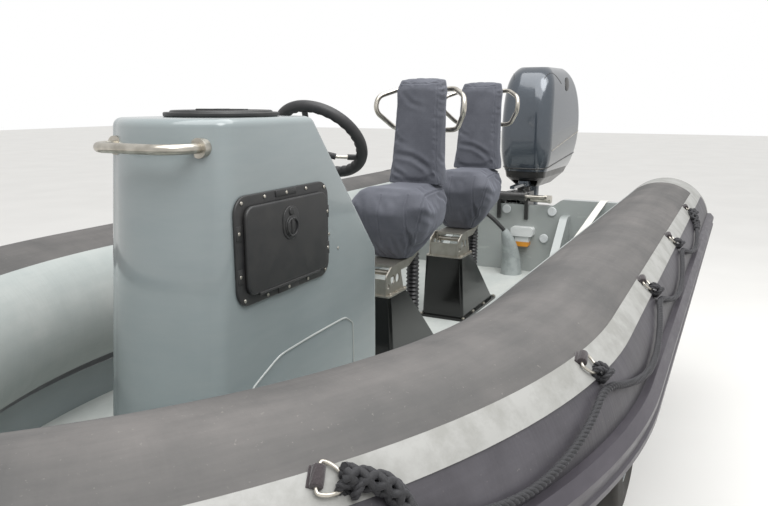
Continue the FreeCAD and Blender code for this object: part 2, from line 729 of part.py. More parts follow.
def build_steering_wheel():
    """Padded rim, three spokes swept to the hub, and the shaft in the helm's bore."""
    foot, n = helm_axis()
    rim_r = WHEEL_OUT_R - WHEEL_RIM_R
    centre = foot + n * WHEEL_STANDOFF
    hub_mid = foot + n * (WHEEL_STANDOFF - 50)
    pieces = [Part.makeTorus(rim_r, WHEEL_RIM_R, centre, n)]
    pieces.append(cone(tuple(hub_mid - n * 16), tuple(hub_mid + n * 20), 40, 28))
    pieces.append(rod(tuple(foot + n * 26), tuple(hub_mid), 12))
    up = Vector(-n.z, 0, n.x) * -1
    if up.z < 0:
        up = up * -1
    side = n.cross(up)
    for k in range(3):
        a = math.radians(90 + 120 * k)
        out = up * math.sin(a) + side * math.cos(a)
        start = hub_mid + out * 18
        bend = hub_mid + out * 62 + n * 6
        end = centre + out * rim_r
        pieces.append(pipe([tuple(start), tuple(bend), tuple(end)], SPOKE_R, 60))
    return fuse(pieces)


def build_dash():
    """Instrument panel and engine switch on the slanted face, and the engine lever on the starboard side."""
    foot, n = helm_axis()
    slope = Vector(n.z, 0, -n.x)
    side = Vector(0, 1, 0)
    mid = foot - slope * -150
    a = foot + slope * -215 + n * SKIN_GAP
    panel = Part.makePolygon([a + side * -120, a + side * 120, a + side * 120 + slope * 105,
                              a + side * -120 + slope * 105, a + side * -120])
    panel = Part.Face(panel).extrude(n * 7)
    gauges = [Part.makeCylinder(38, 10, a + slope * 52 + side * y + n * 6, n) for y in (-62, 62)]
    return fuse([panel] + gauges)


def build_throttle():
    x = CONSOLE_KNEE_X + 330
    z = DECK_Z + CONSOLE_HEIGHT - 316
    y = -CONSOLE_HALF - SKIN_GAP
    base = plate(rectangle(x - 55, x + 55, z - 75, z + 60), 22, "XZ", y - 48, 48)
    boss = rod((x, y - 64, z), (x, y - 48, z), 34)
    lever = plate([(x - 13, z), (x + 13, z), (x + 34, z + 170), (x + 6, z + 176)], 8, "XZ", y - 64, 12)
    grip = rod((x + 22, y - 86, z + 172), (x + 22, y - 26, z + 172), 17)
    return fuse([base, boss, lever, grip])


# Seats

def seat_origins():
    return [SEAT_AFT_X + SEAT_PITCH * i for i in range(SEAT_COUNT)]


def pedestal_body(x, grow):
    """Upright of a seat's foot, all faces moved out by grow."""
    z0 = DECK_Z + SKIN_GAP + PED_FLANGE_T
    top_x = x + PED_LENGTH - PED_FLANGE
    half = PED_WIDTH / 2 - PED_FLANGE
    lo = rectangle(x + 30 - grow, top_x + grow, -half - grow, half + grow)
    hi = rectangle(top_x - PED_TOP_LENGTH - grow, top_x + grow, -PED_TOP_WIDTH / 2 - grow, PED_TOP_WIDTH / 2 + grow)
    wires = [rounded_wire(lo, 16, "XY", z0), rounded_wire(hi, 16, "XY", DECK_Z + PED_HEIGHT)]
    return Part.makeLoft(wires, True, True)


def build_pedestals():
    """Black moulded feet: a flange, upright front and a long slanting back."""
    feet = []
    for x in seat_origins():
        flange = plate(rectangle(x, x + PED_LENGTH, -PED_WIDTH / 2, PED_WIDTH / 2), 18, "XY", DECK_Z + SKIN_GAP, PED_FLANGE_T)
        feet.append(fuse([flange, pedestal_body(x, 0)]))
    return feet


def saddle_under(along):
    """Height of a saddle's underside, along being measured forward from the seat's station."""
    return DECK_Z + SADDLE_BASE_Z + max(SADDLE_RISE_START - along, 0.0) * SADDLE_RISE


def build_brackets():
    """Steel boxes with round-topped cheeks and lightening holes, and the arms that carry the saddle."""
    made = []
    for x in seat_origins():
        top_x = x + PED_LENGTH - PED_FLANGE
        x0, x1 = top_x - PED_TOP_LENGTH, top_x
        z0 = DECK_Z + PED_HEIGHT + SKIN_GAP
        base = plate(rectangle(x0, x1, -PED_TOP_WIDTH / 2, PED_TOP_WIDTH / 2), 10, "XY", z0, BRACKET_T)
        cheek = [(x0, z0), (x1, z0), (x1 - 12, z0 + BRACKET_HEIGHT - 30), (x1 - 62, z0 + BRACKET_HEIGHT),
                 (x0 + 34, z0 + BRACKET_HEIGHT), (x0 + 6, z0 + 34)]
        pieces = [base]
        inner = PED_TOP_WIDTH / 2 - BRACKET_FLANGE - BRACKET_T
        for side in (-1, 1):
            y = side * inner - (BRACKET_T if side < 0 else 0)
            wall = plate(cheek, [0, 0, 22, 30, 24, 0], "XZ", y, BRACKET_T)
            for hx, hz, hr in ((x0 + 52, 58, 19), (x0 + 98, 62, 19), (x1 - 26, 40, 11)):
                wall = wall.cut(rod((hx, y - 1, z0 + hz), (hx, y + BRACKET_T + 1, z0 + hz), hr))
            pieces.append(wall)
        pieces.append(box(x1 - BRACKET_T - 10, x1 - 10, -inner, inner, z0, z0 + BRACKET_HEIGHT - 45))
        pivot = (top_x - 92, z0 + BRACKET_HEIGHT - 36)
        half = inner - 8
        level, bend, back = saddle_under(SADDLE_RISE_START) - SKIN_GAP, x + SADDLE_RISE_START, x + 60
        high = saddle_under(60) - SKIN_GAP
        arm = [(pivot[0] + 18, pivot[1] - 14), (pivot[0] + 18, level - 8), (bend, level - 8), (back, high - 8),
               (back, high - 32), (bend, level - 34), (pivot[0] - 40, level - 34)]
        pieces += [plate(arm, [6, 6, 0, 6, 6, 0, 6], "XZ", s * half - 5, 10) for s in (-1, 1)]
        pan = [(pivot[0] + 18, level - 10), (pivot[0] + 18, level), (bend, level), (back, high), (back, high - 10),
               (bend, level - 10)]
        pieces.append(plate(pan, 0, "XZ", -half - 5, 2 * half + 10))
        pieces.append(rod((pivot[0], -half - 10, pivot[1]), (pivot[0], half + 10, pivot[1]), 11))
        made.append(fuse(pieces))
    return made


def build_gaiters():
    """Corrugated sleeve over each seat's damper: rings of two diameters from one table of heights."""
    made = []
    for x in seat_origins():
        cx = x + 66
        z0 = DECK_Z + PED_FLANGE_T + SKIN_GAP * 2
        z1 = saddle_under(66 + GAITER_R) - 10 - SKIN_GAP * 4
        pitch = (z1 - z0) / GAITER_FOLDS
        pts = [Vector(cx, 0, z0)]
        for i in range(GAITER_FOLDS):
            z = z0 + pitch * i
            pts += [Vector(cx + GAITER_R - 6, 0, z), Vector(cx + GAITER_R, 0, z + pitch * 0.5)]
        pts += [Vector(cx + GAITER_R - 6, 0, z1), Vector(cx, 0, z1)]
        face = Part.Face(Part.makePolygon(pts + pts[:1]))
        sleeve = face.revolve(Vector(cx, 0, 0), Z_AXIS, 360).cut(pedestal_body(x, SKIN_GAP))
        made.append(max(sleeve.Solids, key=lambda q: q.Volume))
    return made


def build_saddle(x):
    """Straddle cushion: wide and crowned in front, narrower under the backrest, its skirt rising aft."""
    z0, z1 = DECK_Z + SADDLE_BASE_Z, DECK_Z + SADDLE_TOP_Z
    back = x - 30
    front = x + SADDLE_LENGTH - 30
    # Columns: height share, front pull-in, aft pull-in, half-width in front, half-width aft
    rows = ((0.0, 55, 22, SADDLE_HALF_BASE, SADDLE_HALF_AFT * 0.62), (0.45, 18, 8, SADDLE_HALF_TOP * 0.86, SADDLE_HALF_AFT * 0.9),
            (0.8, 0, 0, SADDLE_HALF_TOP, SADDLE_HALF_AFT), (1.0, 30, 6, SADDLE_HALF_TOP - 34, SADDLE_HALF_AFT - 14))
    wires = []
    for t, pull_front, pull_aft, fore, aft in rows:
        x0, x1 = back + pull_aft, front - pull_front
        outline = [(x0, -aft), (x1, -fore), (x1, fore), (x0, aft)]
        wires.append(rounded_wire(outline, [30, 50, 50, 30], "XY", z0 + (z1 - z0) * t))
    solid = Part.makeLoft(wires, True, True)
    bend = x + SADDLE_RISE_START
    wedge = [(bend, z0 - 50), (bend, z0), (back - 40, saddle_under(-70)), (back - 40, z0 - 50)]
    return solid.cut(plate(wedge, 0, "XZ", -300, 600))


def build_backrest(x):
    """Tall tapering backrest that leans aft."""
    z0, z1 = DECK_Z + SADDLE_TOP_Z + SKIN_GAP, DECK_Z + BACK_TOP_Z
    lean = BACK_LEAN
    base = x - 30
    # Columns: height share, half-width, thickness
    rows = ((0.0, BACK_HALF_BASE, BACK_T + 10), (0.9, BACK_HALF_TOP + 2, BACK_T - 14), (1.0, BACK_HALF_TOP - 12, BACK_T - 34))
    wires = []
    for t, half, thick in rows:
        x0 = base - lean * t
        wires.append(rounded_wire(rectangle(x0, x0 + thick, -half, half), 26, "XY", z0 + (z1 - z0) * t))
    return Part.makeLoft(wires, True, True)


def back_face_x(x, z):
    """Aft face of a backrest at height z."""
    share = (z - DECK_Z - SADDLE_TOP_Z) / (BACK_TOP_Z - SADDLE_TOP_Z)
    return x - 30 - BACK_LEAN * share


def build_grab_handles():
    """Steel loop on each side of both backrests, on a plate behind the pad."""
    made = []
    for x in seat_origins():
        z0, z1 = DECK_Z + BACK_TOP_Z - 228, DECK_Z + BACK_TOP_Z - 53
        low, high = z0 - 25, z1 + 25
        a, b = back_face_x(x, low) - SKIN_GAP, back_face_x(x, high) - SKIN_GAP
        pieces = [plate([(a, low), (b, high), (b - 6, high), (a - 6, low)], 0, "XZ", -70, 140)]
        for side in (1, -1):
            xa, xb = back_face_x(x, z1) - 5 - GRAB_R, back_face_x(x, z0) - 5 - GRAB_R
            inner, outer = 55 * side, 205 * side
            points = [(xa, inner, z1), (xa + 2, 132 * side, z1 + 6), (xa + 80, outer, z1 - 28),
                      (xa + 98, outer + 8 * side, z0 + 84), (xb + 3, 150 * side, z0 + 4), (xb, inner, z0)]
            pieces.append(pipe(points, GRAB_R, 48))
        made.append(fuse(pieces))
    return made


# Outboard engine

PAN_Z = TRANSOM_TOP + ENGINE_PAN_UP
TILT_Z = TRANSOM_TOP + TILT_AXIS_UP
PLATE_Z = TRANSOM_TOP - PLATE_BELOW_TRANSOM
SHAFT_Z = PLATE_Z - SHAFT_BELOW_PLATE
SWIVEL_TOP = TILT_Z + 26
SWIVEL_LOW = TRANSOM_TOP - 300
CYLINDER_X = TILT_AXIS_X + CYLINDER_AHEAD
CYLINDER_Z = TILT_Z + CYLINDER_UP
RAM_FOOT = Vector(TILT_AXIS_X - 100, 0, TILT_Z - 360)
RAM_EYE = Vector(TILT_AXIS_X - 130, 0, TILT_Z - 100)
RAM_DIR = (RAM_EYE - RAM_FOOT).normalize()


def build_clamp():
    """Clamp brackets that hook over the transom, the tilt tube and the ram's sleeve on its foot."""
    top = TRANSOM_TOP
    aft, front = -SKIN_GAP, TRANSOM_T + SKIN_GAP
    arm = [(aft, top - 350), (aft, top + SKIN_GAP), (front, top + SKIN_GAP), (front, top - 95), (front + 18, top - 95),
           (front + 18, top + 30), (TILT_AXIS_X + 34, TILT_Z + 30), (TILT_AXIS_X - 34, TILT_Z + 30), (aft - 62, top - 60),
           (RAM_FOOT.x - 26, RAM_FOOT.z + 40), (RAM_FOOT.x - 24, top - 350)]
    radii = [6, 0, 0, 6, 8, 14, 22, 22, 20, 16, 16]
    arms = [plate(arm, radii, "XZ", s * (CLAMP_INNER + CLAMP_T / 2) - CLAMP_T / 2, CLAMP_T) for s in (-1, 1)]
    span = CLAMP_INNER + CLAMP_T + 70
    tube = rod((TILT_AXIS_X, -span, TILT_Z), (TILT_AXIS_X, span, TILT_Z), TILT_TUBE_R)
    foot = rod((RAM_FOOT.x, -CLAMP_INNER - 2, RAM_FOOT.z), (RAM_FOOT.x, CLAMP_INNER + 2, RAM_FOOT.z), 12)
    eye = rod((RAM_FOOT.x, -30, RAM_FOOT.z), (RAM_FOOT.x, 30, RAM_FOOT.z), 24)
    sleeve = rod(tuple(RAM_FOOT), tuple(RAM_FOOT + RAM_DIR * 226), RAM_R)
    bore = rod(tuple(RAM_FOOT + RAM_DIR * 18), tuple(RAM_FOOT + RAM_DIR * 240), RAM_ROD_R + FIT_GAP)
    return fuse(arms + [tube, foot, eye, sleeve]).cut(bore)


def build_tilt_rod():
    start = RAM_FOOT + RAM_DIR * 24
    bar = rod(tuple(start), tuple(RAM_EYE), RAM_ROD_R)
    eye = rod((RAM_EYE.x, -16, RAM_EYE.z), (RAM_EYE.x, 16, RAM_EYE.z), 17)
    pin = rod((RAM_EYE.x, -34, RAM_EYE.z), (RAM_EYE.x, 34, RAM_EYE.z), 9)
    return fuse([bar, eye, pin])


def build_swivel():
    """Swivel bracket: hangs on the tilt tube between the clamps and holds the steering pin."""
    top = TRANSOM_TOP
    cheek = [(TILT_AXIS_X + 30, TILT_Z - 8), (TILT_AXIS_X + 26, TILT_Z + 26), (TILT_AXIS_X - 60, TILT_Z + 30),
             (STEER_AXIS_X, TILT_Z + 24), (STEER_AXIS_X, SWIVEL_LOW), (STEER_AXIS_X + 46, SWIVEL_LOW),
             (STEER_AXIS_X + 40, top - 100), (-22, top - 12), (-8, top + 10), (TILT_AXIS_X + 20, top + 10)]
    cheeks = [plate(cheek, [12, 10, 10, 0, 0, 10, 20, 8, 6, 10], "XZ", s * 57 - 14, 28) for s in (-1, 1)]
    tube = rod((STEER_AXIS_X, 0, SWIVEL_LOW), (STEER_AXIS_X, 0, SWIVEL_TOP + 20), SWIVEL_R)
    web = box(STEER_AXIS_X, STEER_AXIS_X + 34, -60, 60, SWIVEL_LOW + 4, top - 110)
    roof = box(STEER_AXIS_X, TILT_AXIS_X - 62, -60, 60, TILT_Z + 4, TILT_Z + 24)
    body = fuse(cheeks + [tube, web, roof])
    tilt = rod((TILT_AXIS_X, -200, TILT_Z), (TILT_AXIS_X, 200, TILT_Z), TILT_TUBE_R + FIT_GAP)
    pin = rod((STEER_AXIS_X, 0, SWIVEL_LOW - 10), (STEER_AXIS_X, 0, SWIVEL_TOP + 60), STEER_PIN_R + FIT_GAP)
    return tidy(body.cut(tilt).cut(pin))


def build_steer_rod():
    """Steering cylinder's rod with the two supports that turn on the tilt tube's ends."""
    z = CYLINDER_Z
    span = CYLINDER_LENGTH + STEER_ARM_T + 2 * MOVE_GAP
    bar = rod((CYLINDER_X, -span, z), (CYLINDER_X, span, z), CYLINDER_ROD_R)
    x, up = TILT_AXIS_X, TILT_Z
    outline = [(CYLINDER_X + 18, z - 18), (CYLINDER_X + 18, z + 18), (x - 22, up + 22), (x - 22, up - 20), (x + 14, up - 24),
               (x + 36, up + 6)]
    arms = []
    for s in (-1, 1):
        y0, y1 = sorted((s * (span - STEER_ARM_T), s * span))
        arms.append(plate(outline, [12, 12, 12, 10, 6, 6], "XZ", y0, y1 - y0))
        arms.append(rod((x, s * (CLAMP_INNER + CLAMP_T + 8), up), (x, s * span, up), TILT_TUBE_R + 6))
    reach = CLAMP_INNER + CLAMP_T + 72
    tube = rod((x, -reach, up), (x, reach, up), TILT_TUBE_R + FIT_GAP)
    return fuse([bar] + arms).cut(tube)


def build_steer_cylinder():
    """Sliding barrel with its hose ports."""
    z = CYLINDER_Z
    half = CYLINDER_LENGTH / 2
    barrel = rod((CYLINDER_X, -half, z), (CYLINDER_X, half, z), CYLINDER_R)
    caps = [rod((CYLINDER_X, s * (half - 22), z), (CYLINDER_X, s * half, z), CYLINDER_R + 4) for s in (-1, 1)]
    ports = [rod((CYLINDER_X, s * (half - 12), z), (CYLINDER_X + 12, s * (half - 12), z + 44), 7) for s in (-1, 1)]
    bore = rod((CYLINDER_X, -half - 1, z), (CYLINDER_X, half + 1, z), CYLINDER_ROD_R + FIT_GAP)
    return fuse([barrel] + caps + ports).cut(bore)


def engine_outline(z, x_front, x_aft, half_front, half_aft, corner):
    points = [(x_aft, -half_aft), (x_front, -half_front), (x_front, half_front), (x_aft, half_aft)]
    return rounded_wire(points, corner, "XY", z)


def cowl_wires(inset):
    """Cowl sections. Columns: height share, front set-back, aft set-in, front half, aft half, corner."""
    rows = ((0.0, 26, 36, 0.62, 0.72, 70), (0.28, 0, 0, 0.72, 0.98, 95), (0.62, 14, 6, 0.70, 1.0, 100),
            (0.88, 70, 66, 0.62, 0.84, 100), (1.0, 170, 170, 0.40, 0.54, 60))
    wires = []
    for t, front, aft, hf, ha, corner in rows:
        z = PAN_Z + COWL_HEIGHT * t + (inset * (1 - 2 * t) if t > 0 else min(inset, 1) * -1)
        wires.append(engine_outline(z, COWL_FRONT - front - inset, COWL_FRONT - COWL_LENGTH + aft + inset,
                                    COWL_HALF * hf - inset, COWL_HALF * ha - inset, corner - inset))
    return wires


def build_cowl():
    """Hollow cowl with the air intake slots high on its back."""
    shell = Part.makeLoft(cowl_wires(0), True, False).cut(Part.makeLoft(cowl_wires(COWL_WALL), True, False))
    aft = COWL_FRONT - COWL_LENGTH
    slots = []
    for side in (-1, 1):
        for i in range(3):
            z = PAN_Z + COWL_HEIGHT * 0.64 + i * 34
            y0, y1 = sorted((side * 60, side * 168))
            slots.append(box(aft - 20, aft + 44, y0, y1, z, z + 15))
    return tidy(shell.cut(fuse(slots)))


def build_powerhead():
    """Engine block under the cowl."""
    return box(COWL_FRONT - 560, COWL_FRONT - 130, -125, 125, PAN_Z, PAN_Z + 430)


def build_pan():
    """Black lower pan that the cowl sits on."""
    lo = engine_outline(PAN_Z - 105, COWL_FRONT - 110, COWL_FRONT - 470, 74, 92, 50)
    mid = engine_outline(PAN_Z - 42, COWL_FRONT - 44, COWL_FRONT - COWL_LENGTH + 96, 130, 145, 60)
    hi = engine_outline(PAN_Z - SKIN_GAP, COWL_FRONT - 30, COWL_FRONT - COWL_LENGTH + 42, COWL_HALF * 0.60, COWL_HALF * 0.70, 66)
    pan = Part.makeLoft([lo, mid, hi], True, True)
    clear = rod((STEER_AXIS_X, 0, PAN_Z - 200), (STEER_AXIS_X, 0, PAN_Z - 62), SWIVEL_R + 45)
    return pan.cut(clear)


def leg_outline(z, x_front, x_aft, half):
    """Streamlined section with a blunt front and a fine tail."""
    mid = x_front - (x_front - x_aft) * 0.38
    nose = Part.Arc(Vector(mid, -half, z), Vector(x_front, 0, z), Vector(mid, half, z)).toShape()
    tail = [Part.LineSegment(Vector(mid, half, z), Vector(x_aft, 5, z)).toShape(),
            Part.LineSegment(Vector(x_aft, 5, z), Vector(x_aft, -5, z)).toShape(),
            Part.LineSegment(Vector(x_aft, -5, z), Vector(mid, -half, z)).toShape()]
    return Part.Wire([nose] + tail)


def build_leg():
    """Midsection from the pan to the gearcase, with the steering pin and its two yokes."""
    front = STEER_AXIS_X - SWIVEL_R - 14
    half = LEG_WIDTH / 2
    wires = [leg_outline(PAN_Z - 105 - SKIN_GAP, front + 6, front - 250, half + 14), leg_outline(SWIVEL_LOW - 20, front + 4, front - 225, half),
             leg_outline(PLATE_Z + 13 + SKIN_GAP, front + 20, front - 262, half - 8)]
    leg = Part.makeLoft(wires, True, True)
    pin = rod((STEER_AXIS_X, 0, SWIVEL_LOW - 34), (STEER_AXIS_X, 0, PAN_Z - 72), STEER_PIN_R)
    low = plate(rectangle(front - 90, STEER_AXIS_X + 34, -34, 34), 24, "XY", SWIVEL_LOW - 40, 34)
    high = plate(rectangle(front - 22, STEER_AXIS_X + 34, -34, 34), 24, "XY", SWIVEL_TOP + 26, 34)
    arm = plate([(STEER_AXIS_X + 10, -24), (CYLINDER_X - 46, -15), (CYLINDER_X - 46, 15), (STEER_AXIS_X + 10, 24)], 6, "XY",
                SWIVEL_TOP + 34, 16)
    return fuse([leg, pin, low, high, arm])


def build_gearcase():
    """Gearcase: ventilation plate, strut, torpedo and skeg, bored for the propeller shaft."""
    front = STEER_AXIS_X - SWIVEL_R - 14
    xa = front - 262
    outline = [(front + 30, 0), (front - 60, 66), (xa - 120, 92), (xa - 150, 60), (xa - 150, -60), (xa - 120, -92),
               (front - 60, -66)]
    vent = plate(outline, [10, 30, 30, 10, 10, 30, 30], "XY", PLATE_Z, 13)
    strut = Part.makeLoft([leg_outline(PLATE_Z, front + 14, xa + 26, LEG_WIDTH / 2 - 12),
                           leg_outline(SHAFT_Z, front + 34, xa + 44, LEG_WIDTH / 2 - 20)], True, True)
    nose = front + 70
    aft = xa + 28
    g = GEARCASE_R
    pts = [Vector(nose, 0, SHAFT_Z), Vector(nose - 26, 0, SHAFT_Z + g * 0.52), Vector(nose - 90, 0, SHAFT_Z + g * 0.9),
           Vector(nose - 150, 0, SHAFT_Z + g), Vector(aft, 0, SHAFT_Z + g * 0.86), Vector(aft, 0, SHAFT_Z)]
    edges = [Part.Arc(pts[0], pts[1], pts[2]).toShape()] + [
        Part.LineSegment(pts[i], pts[i + 1]).toShape() for i in (2, 3, 4)] + [Part.LineSegment(pts[5], pts[0]).toShape()]
    torpedo = Part.Face(Part.Wire(edges)).revolve(Vector(0, 0, SHAFT_Z), Vector(1, 0, 0), 360)
    skeg = plate([(front + 16, SHAFT_Z - g * 0.6), (xa + 36, SHAFT_Z - g * 0.6), (xa + 2, SHAFT_Z - 168),
                  (xa + 70, SHAFT_Z - 182)], [0, 0, 14, 30], "XZ", -7, 14)
    bore = rod((aft - 1, 0, SHAFT_Z), (aft + 62, 0, SHAFT_Z), 14 + FIT_GAP)
    return fuse([vent, strut, torpedo, skeg]).cut(bore)


def prop_plane():
    front = STEER_AXIS_X - SWIVEL_R - 14
    return front - 262 + 28 - 2.0


def build_propeller():
    """Hub, shaft and three pitched blades."""
    x = prop_plane()
    hub = cone((x, 0, SHAFT_Z), (x - 112, 0, SHAFT_Z), GEARCASE_R * 0.84, GEARCASE_R * 0.66)
    shaft = rod((x - 1, 0, SHAFT_Z), (x + 52, 0, SHAFT_Z), 14)
    pieces = [hub, shaft]
    for k in range(PROP_BLADES):
        wires = []
        # Columns: radius share, half chord, pitch angle
        for share, chord, pitch in ((0.2, 34, 52), (0.62, 66, 36), (0.93, 40, 27)):
            r = PROP_R * share
            a = math.radians(pitch)
            t = 5.5 - 3.2 * share
            pts = []
            for c, w in ((-chord, 0), (0, t), (chord, 0), (0, -t)):
                dx = -c * math.sin(a) + w * math.cos(a)
                dy = c * math.cos(a) + w * math.sin(a)
                pts.append(Vector(x - 58 + dx, dy, SHAFT_Z + r))
            wires.append(Part.makePolygon(pts + pts[:1]))
        blade = Part.makeLoft(wires, True, True)
        blade.rotate(Vector(x, 0, SHAFT_Z), Vector(1, 0, 0), 360 / PROP_BLADES * k)
        pieces.append(blade)
    return fuse(pieces)


# Transom fittings

def build_transom_fittings():
    """Drain caps on the transom's front."""
    x = TRANSOM_T + SKIN_GAP
    places = ((-40, TRANSOM_TOP - 34), (TRANSOM_NOTCH_HALF + 2, TRANSOM_TOP - 32), (208, TRANSOM_TOP - 207))
    return [rod((x, y, z), (x + 8, y, z), CAP_R) for y, z in places]


def build_pump_box():
    """Bilge pump float box: blank light top and coloured face."""
    x = TRANSOM_T + SKIN_GAP
    z = TRANSOM_TOP - PUMP_BOX_DOWN
    body = plate(rectangle(32, 121, z - 66, z), 8, "YZ", x, 45)
    lid = plate(rectangle(5, 148, z, z + 58), 16, "YZ", x, 56)
    return fuse([body, lid])


def rigging_points():
    """Corrugated hose from the boot's mouth up and over to the transom's starboard shoulder."""
    x, y, z = BOOT_X + BOOT_LEAN_X, BOOT_Y + BOOT_LEAN_Y, DECK_Z + BOOT_HEIGHT
    y1 = -CYLINDER_LENGTH - 30
    z1 = TRANSOM_TOP - 5
    return [(x, y, z), (x + 37, y - 92, z + 110), (x + 32, y1, z1), (TRANSOM_T + SKIN_GAP, y1 - 105, z1 - 10)]


def rigging_heading():
    first, second = [Vector(*p) for p in rigging_points()[:2]]
    return (second - first).normalize()


def build_cable_boot():
    """Soft boot over the cables where they leave the deck, leaning to starboard, its mouth square to the hose."""
    z = DECK_Z + SKIN_GAP
    rows = ((0, 0, 68), (14, 0, 66), (0.43 * BOOT_HEIGHT, 0.12, 56))
    wires = [Part.Wire([Part.makeCircle(r, Vector(BOOT_X + BOOT_LEAN_X * lean, BOOT_Y + BOOT_LEAN_Y * lean, z + up))])
             for up, lean, r in rows]
    mouth = Vector(*rigging_points()[0]) - rigging_heading() * SKIN_GAP
    wires.append(Part.Wire([Part.makeCircle(RIGGING_R + 8, mouth, rigging_heading())]))
    return Part.makeLoft(wires, True, False)


def build_rigging_hose():
    """Hose with the union nut that holds it in the transom."""
    points = rigging_points()
    hose = cord("rigging_hose", points, RIGGING_R)
    last, end = Vector(*points[-2]), Vector(*points[-1])
    run = (end - last).normalize()
    nut = rod(tuple(end - run * 34), tuple(end + run * 20), RIGGING_R + 6)
    wall = TRANSOM_T + SKIN_GAP
    return fuse([hose, nut]).cut(box(-100, wall, -B, B, DECK_Z, TRANSOM_TOP + 200))


def strap_edge(middle, across, ahead):
    """Rectangle of the webbing's section: its middle, the direction of its width and that of its run."""
    half = across.normalize() * (STRAP_W / 2)
    normal = ahead.cross(across).normalize() * (STRAP_T / 2)
    corners = [middle - half - normal, middle + half - normal, middle + half + normal, middle - half + normal]
    return Part.makePolygon(corners + corners[:1])


def build_stern_strap():
    """Tie-down webbing from the transom's aft face over its port shoulder and down to the deck."""
    t = STRAP_T / 2 + SKIN_GAP
    top = TRANSOM_TOP + TRANSOM_SHOULDER + t
    corners = [Vector(-t, STRAP_Y, TRANSOM_TOP - 150), Vector(-t, STRAP_Y, top), Vector(TRANSOM_T + t, STRAP_Y, top)]
    foot = Vector(STRAP_FOOT_X, STRAP_FOOT_Y, DECK_Z + SKIN_GAP + STRAP_T / 2)
    side = Vector(0, 1, 0)
    pieces = []
    for a, b in zip(corners, corners[1:]):
        pieces.append(Part.Face(strap_edge(a, side, b - a)).extrude(b - a))
    for p in corners[1:]:
        pieces.append(rod(tuple(p - side * (STRAP_W / 2)), tuple(p + side * (STRAP_W / 2)), STRAP_T / 2))
    run = (foot - corners[-1]).normalize()
    start = corners[-1] + run * (STRAP_T / 2 + SKIN_GAP)
    level = Z_AXIS.cross(run)
    long_run = Part.makeLoft([strap_edge(start, side, run), strap_edge(foot, level, run)], True, True)
    return [fuse(pieces), long_run]


def build_eyes():
    """Stern eyes on the transom and the towing eye on the stem, each a plate with a ring of round bar."""
    eyes = []
    for side in (-1, 1):
        y, z = side * 520, TRANSOM_TOP - 210
        pad = plate(rectangle(y - 24, y + 24, z - 34, z + 34), 10, "YZ", -SKIN_GAP - 7, 7)
        ring = Part.makeTorus(22, 6, Vector(-SKIN_GAP - 7 - 20, y, z), Vector(0, 1, 0))
        eyes.append(fuse([pad, ring]).cut(box(-SKIN_GAP, 60, -B, B, z - 60, z + 60)))
    return eyes


STEM_X = NOSE_X + NOSE_R - HULL_INSET
EYE_Z = TUBE_Z - TUBE_R - 44.0
CHOCK_Z = EYE_Z - 62.0
EYE_REACH = 52.0
EYE_BAR_R = 7.0
EYE_HALF = 21.0


def build_bow_eye():
    """Towing eye on the stem: a plate and a U of round bar."""
    x = STEM_X + SKIN_GAP
    pad = plate(rectangle(-18, 18, EYE_Z - 38, EYE_Z + 38), 10, "YZ", x, 4)
    low, high = EYE_Z - EYE_HALF, EYE_Z + EYE_HALF
    points = [(x + 2, 0, low), (x + EYE_REACH, 0, low), (x + EYE_REACH, 0, high), (x + 2, 0, high)]
    return fuse([pad, pipe(points, EYE_BAR_R, 18)])


# Trailer

RAIL_LOW_Z = RAIL_TOP_Z - RAIL_H
KEEL_Z = DECK_Z - KEEL_DEPTH


def build_trailer_frame():
    """Two box-section rails, straight under the boat and drawn in to the drawbar they are welded to."""
    pieces = [box(DRAWBAR_TAIL_X, COUPLING_X - 170, -DRAWBAR_W / 2, DRAWBAR_W / 2, RAIL_LOW_Z, RAIL_TOP_Z)]
    for side in (-1, 1):
        y, t = side * TRAILER_HALF, side * RAIL_W
        join = side * (DRAWBAR_W / 2 - 10)
        outline = [(TRAILER_REAR, y), (TRAILER_BEND_X, y), (DRAWBAR_JOIN_X, join), (DRAWBAR_JOIN_X, join + t),
                   (TRAILER_BEND_X + 10, y + t), (TRAILER_REAR, y + t)]
        pieces.append(plate(outline, 0, "XY", RAIL_LOW_Z, RAIL_H))
    return fuse(pieces)


def build_coupling():
    """Ball coupling: a socket open below, a tapering body and the locking handle."""
    z0 = RAIL_TOP_Z + SKIN_GAP
    x = COUPLING_X
    body = plate([(x - 330, z0), (x - 330, z0 + 46), (x - 60, z0 + 62), (x + 40, z0 + 52), (x + 52, z0 + 8), (x + 40, z0 - 26),
                  (x - 44, z0 - 26), (x - 60, z0)], [8, 16, 20, 20, 16, 10, 8, 6], "XZ", -42, 84)
    body = body.cut(box(x - 331, x - 90, -60, -32, z0 - 40, z0 + 80)).cut(box(x - 331, x - 90, 32, 60, z0 - 40, z0 + 80))
    handle = plate([(x - 190, z0 + 50), (x - 40, z0 + 62), (x + 6, z0 + 96), (x - 30, z0 + 104), (x - 190, z0 + 82)],
                   8, "XZ", -15, 30)
    socket = rod((x, 0, z0 - 27), (x, 0, z0 + 22), BALL_SOCKET_R)
    return fuse([body, handle]).cut(socket)


